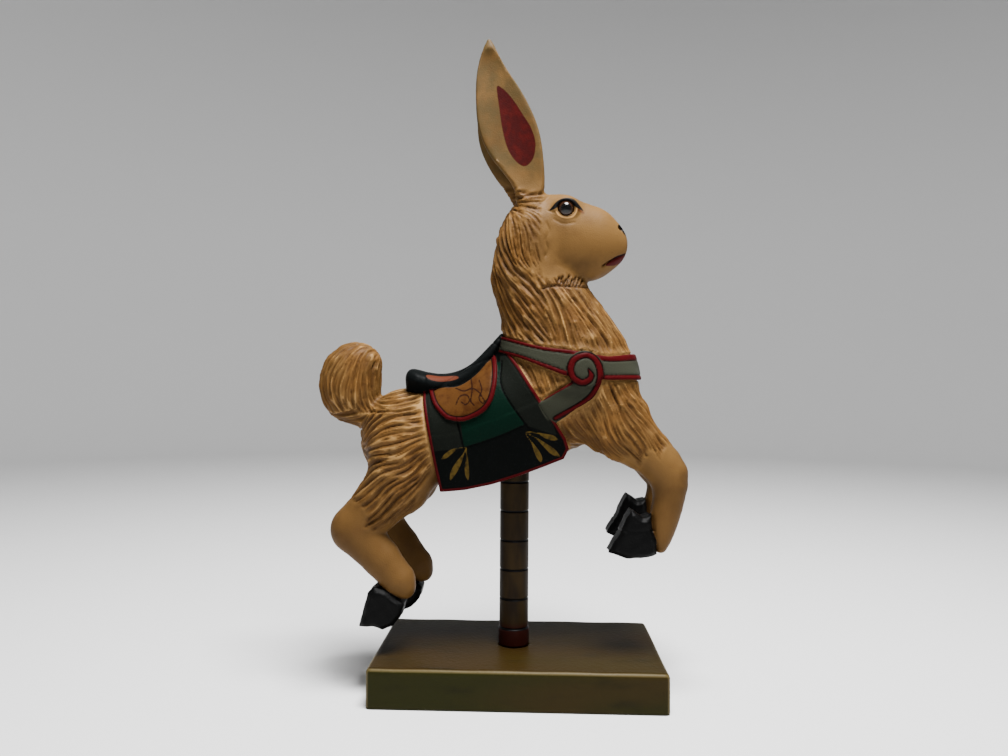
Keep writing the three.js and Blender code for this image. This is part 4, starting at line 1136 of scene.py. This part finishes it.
class Paint:
    """A painted finish, laid on coat by coat."""

    def __init__(self, name, colour, roughness, specular=0.5):
        self.material = bpy.data.materials.new(name)
        self.material.use_nodes = True
        self.tree = self.material.node_tree
        self.shader = self.tree.nodes["Principled BSDF"]
        self.shader.inputs["Roughness"].default_value = roughness
        self.shader.inputs["Specular IOR Level"].default_value = specular
        self.place = self.tree.nodes.new("ShaderNodeTexCoord").outputs["Object"]
        self.colour = srgb(*colour)

    def node(self, kind, **inputs):
        """A new node, with each named input linked to a socket or set to a value."""
        node = self.tree.nodes.new("ShaderNode" + kind)
        for name, value in inputs.items():
            self.put(node.inputs[name.replace("_", " ")], value)
        return node

    def put(self, socket, value):
        if isinstance(value, bpy.types.NodeSocket):
            self.tree.links.new(value, socket)
        else:
            socket.default_value = value

    def ramp(self, value, low, high, most=1.0):
        """Rises from 0 at low to most at high."""
        rising = low < high
        node = self.node("MapRange", Value=value, From_Min=min(low, high), From_Max=max(low, high),
                         To_Min=0 if rising else most, To_Max=most if rising else 0)
        node.interpolation_type = "SMOOTHSTEP"
        return node.outputs["Result"]

    def read(self, name, *limits):
        """A value marked on the piece, or a ramp over it."""
        node = self.node("Attribute")
        node.attribute_name = name
        return self.ramp(node.outputs["Fac"], *limits) if limits else node.outputs["Fac"]

    def band(self, name, edge=0.0, soft=0.25):
        """1 where the named distance is below edge."""
        return self.read(name, edge + soft, edge - soft)

    def noise(self, size, detail, stretch=(1, 1, 1)):
        """Noise from 0 to 1 whose patches are about size millimetres across."""
        place = self.node("Mapping", Scale=stretch, Vector=self.place).outputs[0]
        return self.node("TexNoise", Vector=place, Scale=1 / (size * MM), Detail=detail).outputs["Fac"]

    def patches(self, size, low, high, most=1.0, detail=4, stretch=(1, 1, 1)):
        return self.ramp(self.noise(size, detail, stretch), low, high, most)

    def coats(self, *rows):
        """Coats over one another: a colour, and masks that together are 1 where it goes."""
        for colour, mask, *others in rows:
            for other in others:
                node = self.tree.nodes.new("ShaderNodeMath")
                node.operation = "MULTIPLY"
                self.put(node.inputs[0], mask)
                self.put(node.inputs[1], other)
                mask = node.outputs[0]
            node = self.tree.nodes.new("ShaderNodeMix")
            node.data_type = "RGBA"
            self.put(node.inputs["Factor"], mask)
            self.put(node.inputs[6], self.colour)
            self.put(node.inputs[7], srgb(*colour))
            self.colour = node.outputs[2]

    def finish(self, grain=0, detail=3):
        """The material, with a fine grain in its surface where a grain in millimetres is given."""
        if grain:
            bump = self.node("Bump", Distance=GRAIN_DEPTH * MM, Height=self.noise(grain, detail))
            self.put(self.shader.inputs["Normal"], bump.outputs[0])
        self.put(self.shader.inputs["Base Color"], self.colour)
        return self.material


def body_paint():
    paint = Paint("painted_body", (95, 69, 36), 0.5, 0.06)
    read, band, patches = paint.read, paint.band, paint.patches
    paint.coats(
        ((75, 53, 26), patches(26, 0.4, 0.7)),
        ((107, 78, 43), patches(9, 0.55, 0.8, 0.5, 5)),
        ((102, 68, 30), read("fur"), patches(14, 0.35, 0.7, 0.6)),
        ((66, 54, 31), read("ear"), patches(12, 0.2, 0.7, 0.9)),
        ((146, 112, 67), read("fur"), read("cut", 0.4, 0.0, 0.7)),
        ((66, 42, 17), read("cut", 0.5, 1.5, 0.6)),
        ((54, 33, 13), read("hair", 0.15, 0.5, 0.4)),
        ((24, 12, 5), read("cut", 1.6, 2.7, 0.7)),
        ((60, 40, 17), patches(1.6, 0.66, 0.8, 0.45, 2)),
        ((70, 46, 20), patches(9, 0.5, 0.75, 0.3, 7)),
        # painted shade in folds and under the tack
        ((48, 30, 12), read("fold_shade", 0.35, 1.0, 0.6)),
        # painted shade, darker towards the bottom
        ((62, 42, 19), read("lower", 0.0, 1.0, 0.5)),
        ((46, 3, 2), band("patch", 0, 0.4)),
        ((58, 6, 3), band("patch", 0, 0.4), patches(6, 0.4, 0.7)),
        ((70, 40, 17), band("eye_corner", 0, 0.8)),
        ((150, 112, 66), band("lower_lid")),
        ((4, 3, 3), band("upper_lid")),
        ((60, 13, 12), band("lip", 0, 0.3)),
        ((26, 4, 5), band("lip_line", 0, 0.3)),
        ((5, 4, 3), band("nostril")),
        ((1, 1, 1), band("hoof", 0.55)),
    )
    return paint.finish(0.9)


def tack_paint():
    paint = Paint("painted_tack", (3, 5, 4), 0.45, 0.02)
    band, patches = paint.band, paint.patches
    red, grey, charcoal = (54, 6, 9), (40, 41, 33), (14, 16, 13)
    strap, flap, saddle = band("on_strap"), band("on_flap"), band("on_saddle")
    paint.coats(
        ((2, 20, 13), band("green_panel")),
        (charcoal, band("dark_panel")),
        (charcoal, band("wedge")),
        ((1, 2, 1), band("cloth_line", 0.7)),
        ((76, 60, 24), band("leaf"), patches(5, 0.25, 0.6, 0.8)),
        (red, band("cloth_edge", 2.0)),
        (grey, strap),
        (red, strap, band("collar_red")),
        (grey, strap, band("on_lower")),
        (grey, strap, band("on_scroll")),
        (red, strap, band("strap_line")),
        (red, strap, band("scroll_red")),
        ((62, 38, 15), flap),
        ((47, 25, 9), flap, patches(7, 0.4, 0.7)),
        ((20, 6, 4), flap, band("flap_edge", 3.4)),
        (red, flap, band("flap_edge", 2.6)),
        ((26, 12, 6), flap, band("curl", 0.5)),
        ((8, 10, 10), saddle),
        ((74, 36, 23), saddle, band("seat")),
        ((30, 22, 14), patches(2, 0.68, 0.85, 0.5, 3)),
        ((1, 1, 1), paint.read("cut", 0.15, 0.6, 0.8)),
    )
    return paint.finish(1.2)


def glass_paint():
    paint = Paint("eye_glass", (34, 17, 6), 0.08, 0.3)
    paint.coats(
        ((2, 2, 2), paint.band("pupil", 3.6, 0.3)),
        ((5, 3, 2), paint.read("pupil", 5.0, 5.8)),
    )
    return paint.finish()


def pole_paint():
    paint = Paint("stained_pole", (36, 26, 9), 0.45, 0.06)
    paint.coats(
        ((22, 14, 5), paint.patches(9, 0.35, 0.7, 1.0, 5, (1, 1, 0.3))),
        ((34, 9, 4), paint.read("foot", 1.0, 0.0)),
        ((3, 2, 2), paint.band("ring", 0.9)),
    )
    return paint.finish()


def plinth_paint():
    paint = Paint("stained_plinth", (27, 27, 3), 0.42, 0.06)
    paint.coats(
        # painted light: the top face is coloured lighter and browner than the sides
        ((36, 25, 7), paint.read("top", 0.5, 0.9)),
        ((36, 28, 7), paint.patches(60, 0.4, 0.65, 1.0, 4, (0.25, 1, 1))),
        ((17, 15, 3), paint.patches(11, 0.5, 0.8, 0.7, 5, (0.3, 1, 1))),
        # pale rounded edges: partly painted highlight, partly worn stain
        ((92, 80, 50), paint.read("edge", 0.35, 0.95, 0.6)),
    )
    return paint.finish(2.5, 4)


# Eyes, pole and plinth
def ring_faces(rings, around):
    """Faces between rings of corners that follow one another."""
    grid = np.arange(rings * around).reshape(rings, around)
    after = np.roll(grid, -1, 1)
    return np.stack([grid[:-1], after[:-1], after[1:], grid[1:]], -1).reshape(-1, 4).tolist()


EYE_RINGS, EYE_SIDES = 24, 32


def eyeball(name, material):
    low, high = (np.array(corner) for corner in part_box(name))
    middle, radius = (low + high) / 2, (high - low).min() / 2
    turn = 2 * np.pi * np.arange(EYE_SIDES) / EYE_SIDES
    tilt = np.pi * np.arange(1, EYE_RINGS)[:, None] / EYE_RINGS
    ball = np.stack([np.sin(tilt) * np.cos(turn), np.cos(tilt) + 0 * turn, np.sin(tilt) * np.sin(turn)], -1)
    ends = [[0, 1, 0], [0, -1, 0]]
    points = middle + radius * np.vstack([ball.reshape(-1, 3), ends])
    faces = ring_faces(EYE_RINGS - 1, EYE_SIDES)
    first = len(points) - len(ends)
    last = first - EYE_SIDES
    for j in range(EYE_SIDES):
        after = (j + 1) % EYE_SIDES
        faces += [[first, after, j], [first + 1, last + j, last + after]]
    piece = make_piece(name + "_glass", points, np.array(faces, dtype=object), material)
    gap = (points - middle) / MM
    mark(piece, pupil=np.hypot(gap[:, 0], gap[:, 2]))
    return piece


RING_PITCH = 21
FOOT_HEIGHT = 12.5
FOOT_THICKNESS = 0.6
RING_HALF_WIDTH = 0.8
RING_DEPTH = 0.7
FOOT_GAP = 0.4
POLE_SIDES = 72
POLE_STEP = 0.4
POLE_WAVE = 0.004
STAIN_REACH = 6


def turned_pole(material):
    """The pole, with its ring grooves and its slightly wider foot."""
    plinth_top = PLINTH_HIGH[2] / MM
    radius = (POLE_HIGH[0] - POLE_LOW[0]) / 2 / MM - FOOT_THICKNESS
    first_ring = plinth_top + FOOT_HEIGHT
    rings = np.arange(first_ring, ORIGIN[2] / MM, RING_PITCH)
    heights = np.arange(POLE_LOW[2] / MM, POLE_HIGH[2] / MM, POLE_STEP)
    groove = np.abs(heights[:, None] - rings).min(1)
    foot = (heights > plinth_top + FOOT_GAP) & (heights < first_ring)
    radii = radius + FOOT_THICKNESS * foot - RING_DEPTH * np.clip(1 - groove / RING_HALF_WIDTH, 0, 1)
    turns = 2 * np.pi * np.arange(POLE_SIDES) / POLE_SIDES
    wave = 1 + POLE_WAVE * np.sin(3 * turns)
    x = POLE_AXIS[0] / MM + radii[:, None] * wave * np.cos(turns)
    y = POLE_AXIS[1] / MM + radii[:, None] * wave * np.sin(turns)
    z = np.repeat(heights[:, None], POLE_SIDES, 1)
    points = np.stack([x, y, z], -1).reshape(-1, 3)
    faces = ring_faces(len(heights), POLE_SIDES)
    faces += [list(range(POLE_SIDES))[::-1], list(range(len(points) - POLE_SIDES, len(points)))]
    piece = make_piece("turned_pole", points * MM, np.array(faces, dtype=object), material)
    stain = np.clip((heights - first_ring) / STAIN_REACH, 0, 1)
    mark(piece, ring=np.repeat(groove, POLE_SIDES), foot=np.repeat(stain, POLE_SIDES))
    return piece


BOARD_RADIUS = 3.5
BOARD_STEP = 1.6
BOARD_INSET = 0.35
SOCKET_FLOOR = 13
EDGE_HIGHLIGHT_AND_WEAR = 1.4


def board_distance(p):
    low, high = PLINTH_LOW / MM, PLINTH_HIGH / MM
    x, y, z = p.T
    q = np.abs(p - (low + high) / 2) - (high - low) / 2 + BOARD_RADIUS
    q[:, 2] = np.where(z < BOARD_RADIUS, np.minimum(q[:, 2], 0), q[:, 2])
    rounded = np.linalg.norm(np.maximum(q, 0), axis=1) + np.minimum(q.max(1), 0) - BOARD_RADIUS
    wave = 0.35 * np.sin(x / 23 + 1) * np.sin(y / 17) + 0.25 * np.sin(x / 7.3)
    uneven = 0.5 * np.clip((z - 14) / 10, 0, 1) * wave
    hole = np.hypot(x - POLE_AXIS[0] / MM, y) - (POLE_HIGH[0] - POLE_LOW[0]) / 2 / MM
    hole = np.maximum(hole, SOCKET_FLOOR - z)
    return np.maximum(np.maximum(rounded + BOARD_INSET + uneven, -hole), low[2] - z)


def plinth_board(material):
    """A board with rounded edges, slightly uneven from hand work."""
    low, high = PLINTH_LOW / MM, PLINTH_HIGH / MM
    values, start = sample_band(board_distance, low - 4, high + 4, BOARD_STEP)
    points, faces = surface_net(values, start, BOARD_STEP)
    points, normals = settled(board_distance, points)
    points[:, 2] = np.maximum(points[:, 2], low[2])
    piece = make_piece("plinth_board", points * MM, faces, material)
    # edge: strongest on the rounded edges, for their pale coat of painted highlight and wear
    # top: how far a face looks up, for the top face's painted light
    mark(piece, edge=EDGE_HIGHLIGHT_AND_WEAR * np.sort(np.abs(normals), axis=1)[:, 1], top=normals[:, 2])
    return piece


# Stage, light and camera
FLOOR_SIDES = 64
FLOOR_REACH, FLOOR_TURN, FLOOR_HEIGHT = 2.0, 0.8, 2.6


def floor():
    """A pale floor that turns up at its far edge."""
    profile = [(0.4, 0), (FLOOR_REACH, 0)]
    profile += [(FLOOR_REACH + FLOOR_TURN * math.sin(t), FLOOR_TURN * (1 - math.cos(t)))
                for t in np.linspace(0.1, math.pi / 2, 12)]
    profile.append((FLOOR_REACH + FLOOR_TURN, FLOOR_HEIGHT))
    points = [(r * math.cos(t), r * math.sin(t), z) for r, z in profile
              for t in 2 * np.pi * np.arange(FLOOR_SIDES) / FLOOR_SIDES]
    faces = [face[::-1] for face in ring_faces(len(profile), FLOOR_SIDES)] + [list(range(FLOOR_SIDES))]
    material = Paint("pale_floor", (214, 214, 214), 0.9).finish()
    piece = make_piece("floor", np.array(points), np.array(faces, dtype=object), material)
    piece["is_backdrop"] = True


WORLD_STRENGTH = 0.36
KEY_PLACE, KEY_AIM = (0.15, -0.28, 1.3), (0, 0, 0.25)
KEY_SIZE, KEY_POWER = 0.5, 70


def light_scene():
    world = bpy.data.worlds.new("room")
    world.use_nodes = True
    background = world.node_tree.nodes["Background"]
    background.inputs["Color"].default_value = (1, 1, 1, 1)
    background.inputs["Strength"].default_value = WORLD_STRENGTH
    bpy.context.scene.world = world
    key = bpy.data.lights.new("key", "AREA")
    key.energy, key.size = KEY_POWER, KEY_SIZE
    lamp = bpy.data.objects.new("key", key)
    lamp.location = KEY_PLACE
    lamp.rotation_euler = (Vector(KEY_AIM) - Vector(KEY_PLACE)).to_track_quat("-Z", "Y").to_euler()
    bpy.context.collection.objects.link(lamp)


CAMERA_PLACE = (0.0074, -0.554, 0.212)
CAMERA_YAW, CAMERA_PITCH, CAMERA_ROLL = (math.radians(a) for a in (-1.98, -0.80, 0.38))
FOCAL_PIXELS = 757
IMAGE_WIDTH = 1008
SENSOR = 36


def aim_camera():
    yaw, pitch, roll = CAMERA_YAW, CAMERA_PITCH, CAMERA_ROLL
    forward = Vector((math.sin(yaw) * math.cos(pitch), math.cos(yaw) * math.cos(pitch), -math.sin(pitch)))
    right = Vector((math.cos(yaw), -math.sin(yaw), 0))
    up = right.cross(forward)
    across = math.cos(roll) * right + math.sin(roll) * up
    upward = math.cos(roll) * up - math.sin(roll) * right
    data = bpy.data.cameras.new("camera")
    data.sensor_width = SENSOR
    data.lens = FOCAL_PIXELS / IMAGE_WIDTH * SENSOR
    data.clip_start = 0.02
    camera = bpy.data.objects.new("camera", data)
    facing = Matrix((across, upward, -forward)).transposed().to_4x4()
    camera.matrix_world = Matrix.Translation(CAMERA_PLACE) @ facing
    bpy.context.collection.objects.link(camera)
    bpy.context.scene.camera = camera


carving = carve_body(body_paint())
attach(carving, "root")
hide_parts("rabbit")
tack = carve_tack(tack_paint())
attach(tack, "root")
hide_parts("rabbit")
glass = glass_paint()
for side in ("right_eye", "left_eye"):
    ball = eyeball(side, glass)
    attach(ball, "root")
    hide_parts(side)
pole = turned_pole(pole_paint())
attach(pole, "root")
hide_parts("pole")
board = plinth_board(plinth_paint())
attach(board, "root")
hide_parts("plinth")
floor()
light_scene()
aim_camera()
boxes = [[[float(v) for v in corner] for corner in box] for box in (CAD_BOX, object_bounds())]
